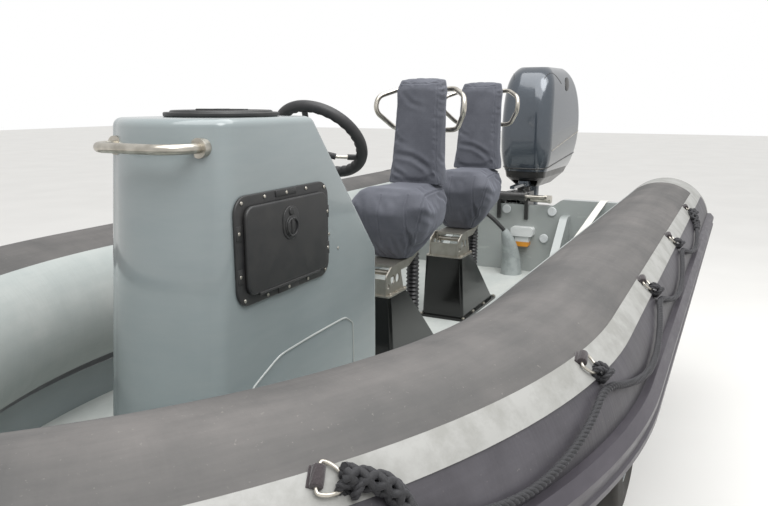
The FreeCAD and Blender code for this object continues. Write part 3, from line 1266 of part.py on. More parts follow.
def build_axle():
    """Cross tube under the rails, with the torsion arms and stub axles."""
    top = RAIL_LOW_Z - SKIN_GAP
    half = WHEEL_Y - TYRE_W / 2 - 62
    beam = box(AXLE_X - AXLE_BEAM / 2, AXLE_X + AXLE_BEAM / 2, -half, half, top - AXLE_BEAM, top)
    pieces = [beam]
    for side in (-1, 1):
        y0, y1 = sorted((side * half, side * (half + 20)))
        pieces.append(plate([(AXLE_X - 40, top - AXLE_BEAM - 6), (AXLE_X + 40, top - AXLE_BEAM - 6), (AXLE_X + 40, top + 6), (AXLE_X - 40, top + 6)],
                            12, "XZ", y0, y1 - y0))
        stub = rod((AXLE_X, side * (half + 10), TYRE_R), (AXLE_X, side * (WHEEL_Y + 30), TYRE_R), 17)
        pieces.append(stub)
    return fuse(pieces)


def wheel_profile(side):
    """Rim and hub as one turned section: barrel, disc and hub, bored for the stub axle."""
    y = side * WHEEL_Y
    half = TYRE_W / 2 - 18
    c = Vector(AXLE_X, y, TYRE_R)
    barrel = rod((c.x, y - half, c.z), (c.x, y + half, c.z), RIM_R)
    inner = rod((c.x, y - half - 1, c.z), (c.x, y + half + 1, c.z), RIM_R - 12)
    disc = rod((c.x, y + side * 14, c.z), (c.x, y + side * 24, c.z), RIM_R - 6)
    hub = rod((c.x, y - side * 40, c.z), (c.x, y + side * 52, c.z), 44)
    wheel = fuse([barrel.cut(inner), disc, hub])
    for k in range(8):
        a = math.radians(45 * k + 22.5)
        hx, hz = c.x + 108 * math.cos(a), c.z + 108 * math.sin(a)
        wheel = wheel.cut(rod((hx, y + side * 8, hz), (hx, y + side * 30, hz), 22))
    bore = rod((c.x, y - side * 60, c.z), (c.x, y + side * 34, c.z), 17 + FIT_GAP)
    return wheel.cut(bore)


def build_rim(side):
    return wheel_profile(side)


def build_tyre(side):
    """Tyre turned from a rounded section."""
    y, z = side * WHEEL_Y, TYRE_R
    h, r0, r1 = TYRE_W / 2, RIM_R + SKIN_GAP, TYRE_R
    points = [(y - h + 18, z + r0), (y + h - 18, z + r0), (y + h, z + r0 + 45), (y + h - 12, z + r1), (y - h + 12, z + r1), (y - h, z + r0 + 45)]
    face = Part.Face(rounded_wire(points, [0, 0, 30, 22, 22, 30], "YZ", AXLE_X))
    return face.revolve(Vector(AXLE_X, 0, z), Vector(0, 1, 0), 360)


def build_mudguards():
    """Arched guards on brackets from the rails."""
    guards = []
    r0 = TYRE_R + GUARD_GAP
    for side in (-1, 1):
        y0 = side * WHEEL_Y - GUARD_W / 2
        ring = rod((AXLE_X, y0, TYRE_R), (AXLE_X, y0 + GUARD_W, TYRE_R), r0 + GUARD_T)
        ring = ring.cut(rod((AXLE_X, y0 - 1, TYRE_R), (AXLE_X, y0 + GUARD_W + 1, TYRE_R), r0))
        ring = ring.common(box(AXLE_X - 2 * r0, AXLE_X + 2 * r0, y0, y0 + GUARD_W, TYRE_R + 30, TYRE_R + 2 * r0))
        lip_y = y0 + GUARD_W - 6 if side > 0 else y0
        lip = rod((AXLE_X, lip_y, TYRE_R), (AXLE_X, lip_y + 6, TYRE_R), r0 + 1)
        lip = lip.cut(rod((AXLE_X, lip_y - 1, TYRE_R), (AXLE_X, lip_y + 7, TYRE_R), r0 - 26))
        lip = lip.common(box(AXLE_X - 2 * r0, AXLE_X + 2 * r0, y0, y0 + GUARD_W, TYRE_R + 30, TYRE_R + 2 * r0))
        inner = side * (WHEEL_Y - GUARD_W / 2)
        rail = side * (TRAILER_HALF + RAIL_W + SKIN_GAP)
        stays = []
        for dx in (-200, 200):
            z = TYRE_R + math.sqrt(r0 ** 2 - 200 ** 2)
            a, b = sorted((rail, inner + side * 20))
            stays.append(box(AXLE_X + dx - 20, AXLE_X + dx + 20, a, b, z - 8, z + 2))
            a, b = sorted((rail, rail + side * 6))
            stays.append(box(AXLE_X + dx - 20, AXLE_X + dx + 20, a, b, RAIL_LOW_Z + 10, z + 2))
        guards.append(fuse([ring, lip] + stays))
    return guards


ROLLER_Z = KEEL_Z - ROLLER_R - SKIN_GAP
DEADRISE = math.radians(DEADRISE_DEG)
BUNK_TOP_Z = KEEL_Z + BUNK_Y * math.tan(DEADRISE) - SKIN_GAP


def build_trailer_rubbers():
    """Keel rollers on the crossbeams and the bow chock that the stem rests against."""
    rollers = [rod((x, -ROLLER_W / 2, ROLLER_Z), (x, ROLLER_W / 2, ROLLER_Z), ROLLER_R) for x in CROSS_STATIONS]
    chock = plate(rectangle(STEM_X + SKIN_GAP, STEM_X + 42 - SKIN_GAP, -58, 58), 10, "XY", CHOCK_Z - 68, 74)
    return rollers + [chock]


def build_crossbeams():
    """Crossbeams between the rails with the roller forks, and the bunk posts on the rails' outer sides."""
    beams = []
    for x in CROSS_STATIONS:
        half = TRAILER_HALF - SKIN_GAP
        pieces = [box(x - RAIL_W / 2, x + RAIL_W / 2, -half, half, RAIL_LOW_Z + 5, RAIL_TOP_Z - 25)]
        for side in (-1, 1):
            y0, y1 = sorted((side * (ROLLER_W / 2 + SKIN_GAP), side * (ROLLER_W / 2 + 6)))
            outline = [(x - 22, RAIL_TOP_Z - 30), (x + 22, RAIL_TOP_Z - 30), (x + 16, ROLLER_Z + 16), (x - 16, ROLLER_Z + 16)]
            pieces.append(plate(outline, [0, 0, 10, 10], "XZ", y0, y1 - y0))
        beams.append(fuse(pieces))
    outer = TRAILER_HALF + RAIL_W
    z1 = BUNK_TOP_Z - BUNK_T / math.cos(DEADRISE) + (outer - BUNK_Y) * math.tan(DEADRISE)
    for x in (CROSS_STATIONS[0], CROSS_STATIONS[2]):
        post = box(x - 25, x + 25, outer + SKIN_GAP, outer + 8, RAIL_LOW_Z + 8, z1 - 4)
        low = BUNK_TOP_Z - BUNK_T - SKIN_GAP
        shelf = box(x - 30, x + 30, BUNK_Y - 38, BUNK_Y + 38, low - 7, low)
        shelf.rotate(Vector(0, BUNK_Y, BUNK_TOP_Z), Vector(1, 0, 0), DEADRISE_DEG)
        beams += both_sides(fuse([post, shelf]))
    return beams


def build_bunks():
    """Padded bunks that follow the hull's bottom."""
    made = []
    for side in (-1, 1):
        z = BUNK_TOP_Z
        plank = box(CROSS_STATIONS[0] - 120, CROSS_STATIONS[2] + 160, BUNK_Y - BUNK_W / 2, BUNK_Y + BUNK_W / 2, z - BUNK_T, z)
        plank.rotate(Vector(0, BUNK_Y, z), Vector(1, 0, 0), math.degrees(DEADRISE))
        made.append(plank if side > 0 else mirror_y(plank))
    return made


WINCH_Z = EYE_Z + 30.0


def build_winch_post():
    """Post on the drawbar with the bow chock's arm, the winch's frame and the winch."""
    z0 = RAIL_TOP_Z
    post = box(POST_X - 30, POST_X + 30, -30, 30, z0, CHOCK_Z - 10)
    foot = plate(rectangle(POST_X - 80, POST_X + 80, -DRAWBAR_W / 2, DRAWBAR_W / 2), 8, "XY", z0 + SKIN_GAP, 8)
    post = post.cut(box(POST_X - 99, POST_X + 99, -60, 60, z0 - 1, z0 + SKIN_GAP))
    arm = box(STEM_X + 42, POST_X, -22, 22, CHOCK_Z - 58, CHOCK_Z - 18)
    outline = [(POST_X + 20, CHOCK_Z - 60), (POST_X + 20, CHOCK_Z - 120), (POST_X + 150, z0 + 9), (POST_X + 200, z0 + 9)]
    brace = plate(outline, 0, "XZ", -16, 32)
    brace_foot = plate(rectangle(POST_X + 130, POST_X + 230, -DRAWBAR_W / 2, DRAWBAR_W / 2), 8, "XY", z0 + SKIN_GAP, 10)
    pieces = [post, foot, arm, brace, brace_foot, box(POST_X - 40, POST_X + 40, -40, 40, CHOCK_Z - 20, CHOCK_Z - 10)]
    for side in (-1, 1):
        y0, y1 = sorted((side * 34, side * 40))
        pieces.append(plate(rectangle(POST_X - 50, POST_X + 50, CHOCK_Z - 20, WINCH_Z + 34), [0, 0, 30, 30], "XZ", y0, y1 - y0))
    pieces.append(rod((POST_X, -35, WINCH_Z), (POST_X, 35, WINCH_Z), 24))
    pieces.append(rod((POST_X, -66, WINCH_Z), (POST_X, -33, WINCH_Z), 9))
    pieces.append(plate(rectangle(POST_X - 12, POST_X + 190, WINCH_Z - 12, WINCH_Z + 12), 10, "XZ", -66, 8))
    pieces.append(rod((POST_X + 174, -126, WINCH_Z), (POST_X + 174, -60, WINCH_Z), 15))
    return fuse(pieces)


def build_winch_strap():
    """Tight webbing from the drum to a hook round the bow eye's bar."""
    a = Vector(POST_X - 4, 0, WINCH_Z - 24 - 1.5)
    b = Vector(STEM_X + EYE_REACH + EYE_BAR_R + 2 * SKIN_GAP, 0, EYE_Z)
    d = (b - a).normalize()
    n = Vector(-d.z, 0, d.x)
    pts = [a - n * 1.2, b - n * 1.2, b + n * 1.2, a + n * 1.2]
    face = Part.Face(Part.makePolygon([p + Vector(0, -24, 0) for p in pts + pts[:1]]))
    return face.extrude(Vector(0, 48, 0))


def build_jockey_leg():
    """Jockey wheel's clamp and telescopic leg beside the drawbar."""
    y = DRAWBAR_W / 2 + 34
    clamp = box(JOCKEY_X - 30, JOCKEY_X + 30, DRAWBAR_W / 2 + SKIN_GAP, y + 20, RAIL_LOW_Z + 8, RAIL_TOP_Z - 8)
    tube = rod((JOCKEY_X, y, 2 * JOCKEY_R + 70), (JOCKEY_X, y, RAIL_TOP_Z + 260), 24)
    crank = pipe([(JOCKEY_X, y, RAIL_TOP_Z + 258), (JOCKEY_X, y, RAIL_TOP_Z + 300), (JOCKEY_X - 110, y, RAIL_TOP_Z + 300)], 6, 20)
    knob = rod((JOCKEY_X - 104, y, RAIL_TOP_Z + 290), (JOCKEY_X - 104, y, RAIL_TOP_Z + 370), 13)
    bore = rod((JOCKEY_X, y, 2 * JOCKEY_R), (JOCKEY_X, y, 2 * JOCKEY_R + 130), 15 + FIT_GAP)
    return fuse([clamp, tube, crank, knob]).cut(bore)


def build_jockey_fork():
    """Swivelling fork below the leg."""
    y = DRAWBAR_W / 2 + 34
    trail = 42.0
    stem = rod((JOCKEY_X, y, 2 * JOCKEY_R + 40), (JOCKEY_X, y, 2 * JOCKEY_R + 128), 15)
    crown = plate(rectangle(JOCKEY_X - trail - 26, JOCKEY_X + 26, y - JOCKEY_W / 2 - 12, y + JOCKEY_W / 2 + 12), 12, "XY",
                  2 * JOCKEY_R + 14, 10)
    collar = rod((JOCKEY_X, y, 2 * JOCKEY_R + 20), (JOCKEY_X, y, 2 * JOCKEY_R + 60), 22)
    cheeks = []
    for side in (-1, 1):
        y0, y1 = sorted((y + side * (JOCKEY_W / 2 + 7), y + side * (JOCKEY_W / 2 + 12)))
        cheeks.append(plate([(JOCKEY_X - trail - 22, JOCKEY_R - 18), (JOCKEY_X - trail + 22, JOCKEY_R - 18), (JOCKEY_X + 22, 2 * JOCKEY_R + 20),
                             (JOCKEY_X - trail - 22, 2 * JOCKEY_R + 20)], [16, 16, 0, 0], "XZ", y0, y1 - y0))
    pin = rod((JOCKEY_X - trail, y - JOCKEY_W / 2 - 14, JOCKEY_R), (JOCKEY_X - trail, y + JOCKEY_W / 2 + 14, JOCKEY_R), 8)
    return fuse([stem, crown, collar, pin] + cheeks)


def build_jockey_wheel():
    y = DRAWBAR_W / 2 + 34
    x = JOCKEY_X - 42.0
    h = JOCKEY_W / 2
    points = [(y - h, JOCKEY_R + 9), (y + h, JOCKEY_R + 9), (y + h, JOCKEY_R + 62), (y + h - 6, 2 * JOCKEY_R), (y - h + 6, 2 * JOCKEY_R), (y - h, JOCKEY_R + 62)]
    face = Part.Face(rounded_wire(points, [0, 0, 8, 14, 14, 8], "YZ", x))
    wheel = face.revolve(Vector(x, 0, JOCKEY_R), Vector(0, 1, 0), 360)
    return wheel.cut(rod((x, y - h - 1, JOCKEY_R), (x, y + h + 1, JOCKEY_R), 8 + FIT_GAP))


def build_lamp_board():
    """Board across the trailer's rear with lamps and a blank number plate."""
    x = TRAILER_REAR - SKIN_GAP
    z0 = RAIL_LOW_Z - 10
    board = plate(rectangle(-720, 720, z0, z0 + 120), 14, "YZ", x - 18, 18)
    lamps = [plate(rectangle(s * 590 - 105, s * 590 + 105, z0 + 12, z0 + 108), 16, "YZ", x - 56, 38) for s in (-1, 1)]
    sign = plate(rectangle(-260, 260, z0 + 6, z0 + 116), 8, "YZ", x - 22, 4)
    return fuse([board, sign] + lamps)


def lifeline_points(side):
    """Rope from ring to ring, hanging out over the tube's side in between."""
    pts = []
    stations = list(reversed(RING_STATIONS))
    for i, s in enumerate(stations):
        p = skin_point(s, RING_ANGLE - 11, 16, side)
        pts.append(tuple(p))
        if i + 1 < len(stations):
            t = stations[i + 1]
            for share, low in ((0.14, 8), (0.32, 15), (0.5, 18), (0.68, 15), (0.86, 8)):
                q = skin_point(s + (t - s) * share, RING_ANGLE - 11 - low, 14, side)
                pts.append(tuple(q))
    return pts


def build():
    """Every piece of the boat, its engine and its trailer, by name."""
    space = seat_space()
    PARTS["hull"] = build_hull(space)
    PARTS["deck"] = build_deck()
    PARTS["transom"] = build_transom(space)
    PARTS["collar"] = build_collar()
    PARTS["collar_ends"] = build_collar_ends()
    PARTS["collar_bands"] = build_bands()
    PARTS["rubbing_strake"] = [build_strake()] + build_rub_strips()
    PARTS["lifeline_rings"] = build_lifeline_rings()
    for side, name in ((1, "port"), (-1, "starboard")):
        PARTS["lifeline_" + name] = cord("lifeline_" + name, lifeline_points(side), ROPE_R)
    PARTS["console_shell"] = build_console()
    PARTS["hatch_frame"] = build_hatch_frame()
    PARTS["hatch_lid"] = build_hatch_lid()
    PARTS["top_lid"] = build_top_lid()
    PARTS["console_rail"] = build_console_rail()
    PARTS["helm"] = build_helm()
    PARTS["steering_wheel"] = build_steering_wheel()
    PARTS["dash_panel"] = build_dash()
    PARTS["throttle"] = build_throttle()
    PARTS["seat_pedestals"] = build_pedestals()
    PARTS["seat_brackets"] = build_brackets()
    PARTS["seat_gaiters"] = build_gaiters()
    PARTS["saddles"] = [build_saddle(x) for x in seat_origins()]
    PARTS["backrests"] = [build_backrest(x) for x in seat_origins()]
    PARTS["grab_handles"] = build_grab_handles()
    PARTS["engine_clamp"] = build_clamp()
    PARTS["tilt_rod"] = build_tilt_rod()
    PARTS["engine_swivel"] = build_swivel()
    PARTS["steer_rod"] = build_steer_rod()
    PARTS["steer_cylinder"] = build_steer_cylinder()
    PARTS["engine_cowl"] = build_cowl()
    PARTS["powerhead"] = build_powerhead()
    PARTS["engine_pan"] = build_pan()
    PARTS["engine_leg"] = build_leg()
    PARTS["gearcase"] = build_gearcase()
    PARTS["propeller"] = build_propeller()
    PARTS["transom_caps"] = build_transom_fittings()
    PARTS["pump_box"] = build_pump_box()
    PARTS["cable_boot"] = build_cable_boot()
    PARTS["rigging_hose"] = build_rigging_hose()
    PARTS["stern_strap"] = build_stern_strap()
    PARTS["stern_eyes"] = build_eyes()
    PARTS["bow_eye"] = build_bow_eye()
    PARTS["trailer_frame"] = build_trailer_frame()
    PARTS["trailer_crossbeams"] = build_crossbeams()
    PARTS["coupling"] = build_coupling()
    PARTS["axle"] = build_axle()
    for side, name in ((1, "port"), (-1, "starboard")):
        PARTS["rim_" + name] = build_rim(side)
        PARTS["tyre_" + name] = build_tyre(side)
    PARTS["mudguards"] = build_mudguards()
    PARTS["trailer_rubbers"] = build_trailer_rubbers()
    PARTS["bunks"] = build_bunks()
    PARTS["winch_post"] = build_winch_post()
    PARTS["winch_strap"] = build_winch_strap()
    PARTS["jockey_leg"] = build_jockey_leg()
    PARTS["jockey_fork"] = build_jockey_fork()
    PARTS["jockey_wheel"] = build_jockey_wheel()
    PARTS["lamp_board"] = build_lamp_board()


build()
os.makedirs("parts", exist_ok=True)
for node, shape in PARTS.items():
    if isinstance(shape, list):
        shape = Part.makeCompound(shape)
    shape.translate(Vector(-ORIGIN_X, 0, 0))
    bad = [s for s in shape.Solids if not s.isValid()]
    b = shape.BoundBox
    print(node, "solids", len(shape.Solids), "volume", round(shape.Volume / 1e6, 2), "INVALID" if bad or not shape.Solids else "",
          [round(q) for q in (b.XMin, b.XMax, b.YMin, b.YMax, b.ZMin, b.ZMax)])
    shape.exportStep("parts/" + node + ".step")
print("nodes", len(PARTS), "origin", ORIGIN_X)
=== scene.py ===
"""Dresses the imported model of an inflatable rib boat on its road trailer, and lights it for a picture."""

import json
import logging
import math
from dataclasses import dataclass, replace
from enum import Enum
from typing import Callable, Optional, Sequence, Union

import bpy
import numpy as np
from bpy.types import Material, Node, NodeSocket, NodeTree, Object
from mathutils import Matrix, Vector

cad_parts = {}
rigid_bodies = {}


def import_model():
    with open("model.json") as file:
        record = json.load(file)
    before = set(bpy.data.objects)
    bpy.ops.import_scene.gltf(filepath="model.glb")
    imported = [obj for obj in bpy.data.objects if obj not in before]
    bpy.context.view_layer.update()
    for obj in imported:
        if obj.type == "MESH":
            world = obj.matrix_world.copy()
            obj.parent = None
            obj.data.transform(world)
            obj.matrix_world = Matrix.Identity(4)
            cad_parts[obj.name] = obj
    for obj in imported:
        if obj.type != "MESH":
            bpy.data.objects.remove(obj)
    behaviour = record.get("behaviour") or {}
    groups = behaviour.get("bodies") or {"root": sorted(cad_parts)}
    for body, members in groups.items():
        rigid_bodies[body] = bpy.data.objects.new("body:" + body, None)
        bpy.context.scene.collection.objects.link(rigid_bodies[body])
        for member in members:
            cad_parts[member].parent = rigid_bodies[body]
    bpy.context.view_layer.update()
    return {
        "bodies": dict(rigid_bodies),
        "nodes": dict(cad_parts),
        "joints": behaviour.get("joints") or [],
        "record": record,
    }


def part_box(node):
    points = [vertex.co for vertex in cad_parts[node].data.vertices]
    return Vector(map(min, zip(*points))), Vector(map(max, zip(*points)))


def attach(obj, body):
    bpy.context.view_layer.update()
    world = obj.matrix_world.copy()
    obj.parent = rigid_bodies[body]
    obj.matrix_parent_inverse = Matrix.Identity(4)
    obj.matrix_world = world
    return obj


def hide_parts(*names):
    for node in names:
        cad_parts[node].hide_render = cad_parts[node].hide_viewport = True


LOG = logging.getLogger("rib_boat")
AFT_X = -2.2325
DECK_LEVEL = 0.750
SEAT_STATIONS = (-1.4825, -0.6885)
AHEAD = Vector((1.0, 0.0, 0.0))
PORTWARD = Vector((0.0, 1.0, 0.0))
UP = Vector((0.0, 0.0, 1.0))
ORIGIN = (0.0, 0.0, 0.0)
EVEN = (1.0, 1.0, 1.0)
# Most values of a noise lie between these two.
MIDDLE = {"From Min": 0.25, "From Max": 0.75}
# A wave texture of scale 1 repeats at this many millimetres.
WAVE_MM = 1000 * math.tau / 20
RGBA = {"data_type": "RGBA"}


class Side(Enum):
    """The two sides of the boat, as the sign of y."""

    PORT = 1
    STARBOARD = -1


# Colours and nodes


def linear(colour: str) -> tuple[float, float, float, float]:
    """Turn an sRGB hex colour into linear light.

    Args:
        colour: six hex digits, with or without a hash.

    Returns:
        Red, green, blue and a full alpha.
    """
    digits = colour.lstrip("#")
    shares = [int(digits[i : i + 2], 16) / 255 for i in (0, 2, 4)]
    light = [s / 12.92 if s <= 0.04045 else ((s + 0.055) / 1.055) ** 2.4 for s in shares]
    return (light[0], light[1], light[2], 1.0)


def outlet(source: Union[Node, NodeSocket]) -> NodeSocket:
    """The socket itself, or the first one in use of a node's outputs."""
    return source if isinstance(source, NodeSocket) else next(s for s in source.outputs if s.enabled)


def add(tree: NodeTree, kind: str, inputs: Optional[dict] = None, **settings) -> Node:
    """Add one node with its settings, socket values and links.

    Args:
        tree: the node tree to add to.
        kind: Blender's name of the node type, without its first word ShaderNode.
        inputs: socket name or number to a value, a hex colour, or the output or node that feeds it.
        settings: attributes of the node itself.

    Returns:
        The node.
    """
    made = tree.nodes.new("ShaderNode" + kind)
    for name, value in settings.items():
        setattr(made, name, value)
    for key, value in (inputs or {}).items():
        if isinstance(value, (Node, NodeSocket)):
            tree.links.new(outlet(value), made.inputs[key])
        else:
            made.inputs[key].default_value = linear(value) if isinstance(value, str) else value
    return made


def grain(
    tree: NodeTree,
    size_mm: float,
    detail: float = 3.0,
    stretch: tuple = EVEN,
    source: str = "Object",
    rough: float = 0.5,
) -> Node:
    """Cloudy pattern whose grains have a real size: coordinates, their stretch and the noise.

    Args:
        tree: the node tree.
        size_mm: the size of one grain in millimetres.
        detail: octaves of finer grain.
        stretch: scale along each axis, below 1 for a streak along it.
        source: Object or UV.
        rough: weight of the finer octaves.

    Returns:
        The noise, about 0.5 on average.
    """
    place = add(tree, "TexCoord").outputs[source]
    turned = add(tree, "Mapping", {"Vector": place, "Scale": stretch})
    size = {"Scale": 1000.0 / size_mm, "Detail": detail, "Roughness": rough}
    return add(tree, "TexNoise", {"Vector": turned, **size})


def blank(name: str, **sockets) -> tuple[Material, NodeTree, Node]:
    """Start a material with one shader.

    Args:
        name: the material's name.
        sockets: shader socket names, with underscores for spaces, to values.

    Returns:
        The material, its tree and its shader.
    """
    made = bpy.data.materials.new(name)
    made.use_nodes = True
    tree = made.node_tree
    tree.nodes.clear()
    shader = add(tree, "BsdfPrincipled", {key.replace("_", " "): value for key, value in sockets.items()})
    add(tree, "OutputMaterial", {"Surface": shader})
    return made, tree, shader


def feed(tree: NodeTree, shader: Node, **sockets) -> None:
    """Link patterns to a shader.

    Args:
        tree: the node tree.
        shader: the shader.
        sockets: shader socket names, with underscores for spaces, to outputs or nodes.
    """
    for key, value in sockets.items():
        tree.links.new(outlet(value), shader.inputs[key.replace("_", " ")])


# Finishes: in every Mix, socket 0 is the share, 6 and 7 are the colours; bump distances are in metres


@dataclass(frozen=True)
class Gelcoat:
    """Polished polyester gelcoat from a mould: deep gloss over a faint waviness, and settled dust."""

    name: str
    colour: str
    shade: str
    roughness: float = 0.14
    wave_mm: float = 130.0
    dust: float = 0.12

    def make(self) -> Material:
        """Build the material.

        Returns:
            The material.
        """
        made, tree, shader = blank(self.name, Coat_Weight=0.5, Coat_Roughness=0.05, IOR=1.5)
        broad = grain(tree, 420.0, 2.0)
        film = grain(tree, 60.0, 6.0, (0.35, 0.35, 1.6), rough=0.62)
        share = add(tree, "MapRange", {"Value": broad, "From Min": 0.35, "From Max": 0.65})
        tone = add(tree, "Mix", {0: share, 6: self.shade, 7: self.colour}, **RGBA)
        amount = add(tree, "Math", {0: film, 1: self.dust}, operation="MULTIPLY")
        dusty = add(tree, "Mix", {0: amount, 6: tone, 7: "#C9C6BE"}, **RGBA)
        ends = {"To Min": self.roughness * 0.75, "To Max": self.roughness * 1.7}
        level = add(tree, "MapRange", {"Value": film, **MIDDLE, **ends})
        wave = add(tree, "Bump", {"Height": grain(tree, self.wave_mm, 1.0), "Distance": 0.0005})
        peel = add(tree, "Bump", {"Height": grain(tree, 4.0, 1.0), "Distance": 0.000012, "Normal": wave})
        feed(tree, shader, Base_Color=dusty, Roughness=level, Normal=peel)
        return made


@dataclass(frozen=True)
class TubeFabric:
    """Rubber-coated polyester boat fabric: close weave under a smooth skin, matt above, shinier outside.

    The piece's UV map holds the length along the tube in metres as U and the angle round it, in turns, as V.
    """

    name: str
    top: tuple = ("#4C4B4A", "#676462")
    side: tuple = ("#353337", "#4F4D52")
    inner: tuple = ("#9CA2A0", "#AEB1AE")
    band_turn: float = 44.0 / 360.0
    inner_turn: float = 124.0 / 360.0
    below_turn: float = 0.62
    girth: float = 1.57
    thread_mm: float = 9.8175

    def make(self) -> Material:
        """Build the material.

        Returns:
            The material.
        """
        made, tree, shader = blank(self.name, IOR=1.5)
        cloud = grain(tree, 230.0, 5.0, rough=0.6)
        outer, colour = self.panels(tree, cloud)
        speck = {"Value": grain(tree, 7.0, 2.0), "From Min": 0.69, "From Max": 0.80, "To Max": 0.2}
        grit = add(tree, "MapRange", speck)
        colour = add(tree, "Mix", {0: grit, 6: colour, 7: "#B9B4AA"}, **RGBA)
        gloss = add(tree, "Mix", {0: outer, 2: 0.62, 3: 0.36}, data_type="FLOAT")
        soil = add(tree, "Math", {0: cloud, 1: 0.16}, operation="MULTIPLY")
        level = add(tree, "Math", {0: gloss, 1: soil}, operation="ADD")
        crease = grain(tree, 260.0, 4.0, (3.4, 0.5, 1.0), "UV", 0.55)
        creases = add(tree, "Bump", {"Height": crease, "Distance": 0.005})
        sag = add(tree, "Bump", {"Height": grain(tree, 110.0), "Distance": 0.0016, "Normal": creases})
        weave = add(tree, "Bump", {"Height": self.weave(tree), "Distance": 0.0001, "Normal": sag})
        feed(tree, shader, Base_Color=colour, Roughness=level, Normal=weave)
        return made

    def panels(self, tree: NodeTree, cloud: Node) -> tuple[Node, Node]:
        """The colours of the outer, upper and inner panel, each with its worn tone.

        Args:
            tree: the node tree.
            cloud: the pattern of the soiling.

        Returns:
            Where the outer panel is, and the colour.
        """
        along = add(tree, "TexCoord").outputs["UV"]
        parts = add(tree, "SeparateXYZ", {"Vector": along})
        turn = add(tree, "Math", {0: parts.outputs["Y"]}, operation="FRACT")
        streak = grain(tree, 900.0, 7.0, (0.6, 9.0, 1.0), "UV", 0.66)
        worn = add(tree, "Math", {0: streak, 1: cloud}, operation="MULTIPLY")
        share = add(tree, "MapRange", {"Value": worn, "From Min": 0.17, "From Max": 0.42})
        top, side, inner = [
            add(tree, "Mix", {0: share, 6: fresh, 7: rubbed}, **RGBA)
            for fresh, rubbed in (self.top, self.side, self.inner)
        ]
        below = add(tree, "Math", {0: turn, 1: self.below_turn}, operation="GREATER_THAN")
        edge = add(tree, "Math", {0: turn, 1: self.band_turn}, operation="LESS_THAN")
        outer = add(tree, "Math", {0: below, 1: edge}, operation="MAXIMUM")
        inboard = add(tree, "Math", {0: turn, 1: self.inner_turn}, operation="GREATER_THAN")
        seen = add(tree, "Mix", {0: inboard, 6: top, 7: inner}, **RGBA)
        return outer, add(tree, "Mix", {0: outer, 6: seen, 7: side}, **RGBA)

    def weave(self, tree: NodeTree) -> Node:
        """Threads drawn 10 mm apart, because the real 1 mm ones would not show.

        Args:
            tree: the node tree.

        Returns:
            The pattern.
        """
        place = add(tree, "TexCoord").outputs["UV"]
        turned = add(tree, "Mapping", {"Vector": place, "Scale": (1.0, self.girth, 1.0)})
        lay = {"Vector": turned, "Scale": WAVE_MM / self.thread_mm}
        warp, weft = [add(tree, "TexWave", lay, bands_direction=way).outputs["Fac"] for way in "XY"]
        return add(tree, "Math", {0: warp, 1: weft}, operation="MULTIPLY")


@dataclass(frozen=True)
class CoatedCloth:
    """Calendered coated cloth in one colour, as cut for bands, patches and tapes: smooth, a little soiled."""

    name: str
    colour: str
    soiled: str
    roughness: float = 0.5

    def make(self) -> Material:
        """Build the material.

        Returns:
            The material.
        """
        made, tree, shader = blank(self.name, IOR=1.5)
        cloud = grain(tree, 90.0, 6.0, rough=0.65)
        share = add(tree, "MapRange", {"Value": cloud, "From Min": 0.38, "From Max": 0.58})
        tone = add(tree, "Mix", {0: share, 6: self.soiled, 7: self.colour}, **RGBA)
        ends = {"To Min": self.roughness + 0.08, "To Max": self.roughness - 0.05}
        level = add(tree, "MapRange", {"Value": cloud, **MIDDLE, **ends})
        creases = add(tree, "Bump", {"Height": grain(tree, 60.0), "Distance": 0.0012})
        fine = add(tree, "Bump", {"Height": grain(tree, 3.0, 1.0), "Distance": 0.00006, "Normal": creases})
        feed(tree, shader, Base_Color=tone, Roughness=level, Normal=fine)
        return made


@dataclass(frozen=True)
class Rubber:
    """Extruded or moulded rubber: deep grey, satin, with chalky bloom and scuffs."""

    name: str
    colour: str
    bloom: str
    roughness: float
    scuffs: float = 0.35

    def make(self) -> Material:
        """Build the material.

        Returns:
            The material.
        """
        made, tree, shader = blank(self.name, IOR=1.52)
        cloud = grain(tree, 140.0, 6.0, (0.5, 0.5, 1.4), rough=0.66)
        rubbed = grain(tree, 24.0, 4.0, (0.25, 1.0, 1.0), rough=0.7)
        chalk = add(tree, "MapRange", {"Value": cloud, **MIDDLE})
        scuff = add(tree, "MapRange", {"Value": rubbed, **MIDDLE, "To Min": 0.2})
        amount = add(tree, "Math", {0: chalk, 1: scuff}, operation="MULTIPLY")
        share = add(tree, "Math", {0: amount, 1: self.scuffs}, operation="MULTIPLY")
        colour = add(tree, "Mix", {0: share, 6: self.colour, 7: self.bloom}, **RGBA)
        ends = {"To Min": self.roughness - 0.06, "To Max": self.roughness + 0.16}
        level = add(tree, "MapRange", {"Value": rubbed, **MIDDLE, **ends})
        relief = add(tree, "Bump", {"Height": rubbed, "Distance": 0.00025})
        feed(tree, shader, Base_Color=colour, Roughness=level, Normal=relief)
        return made


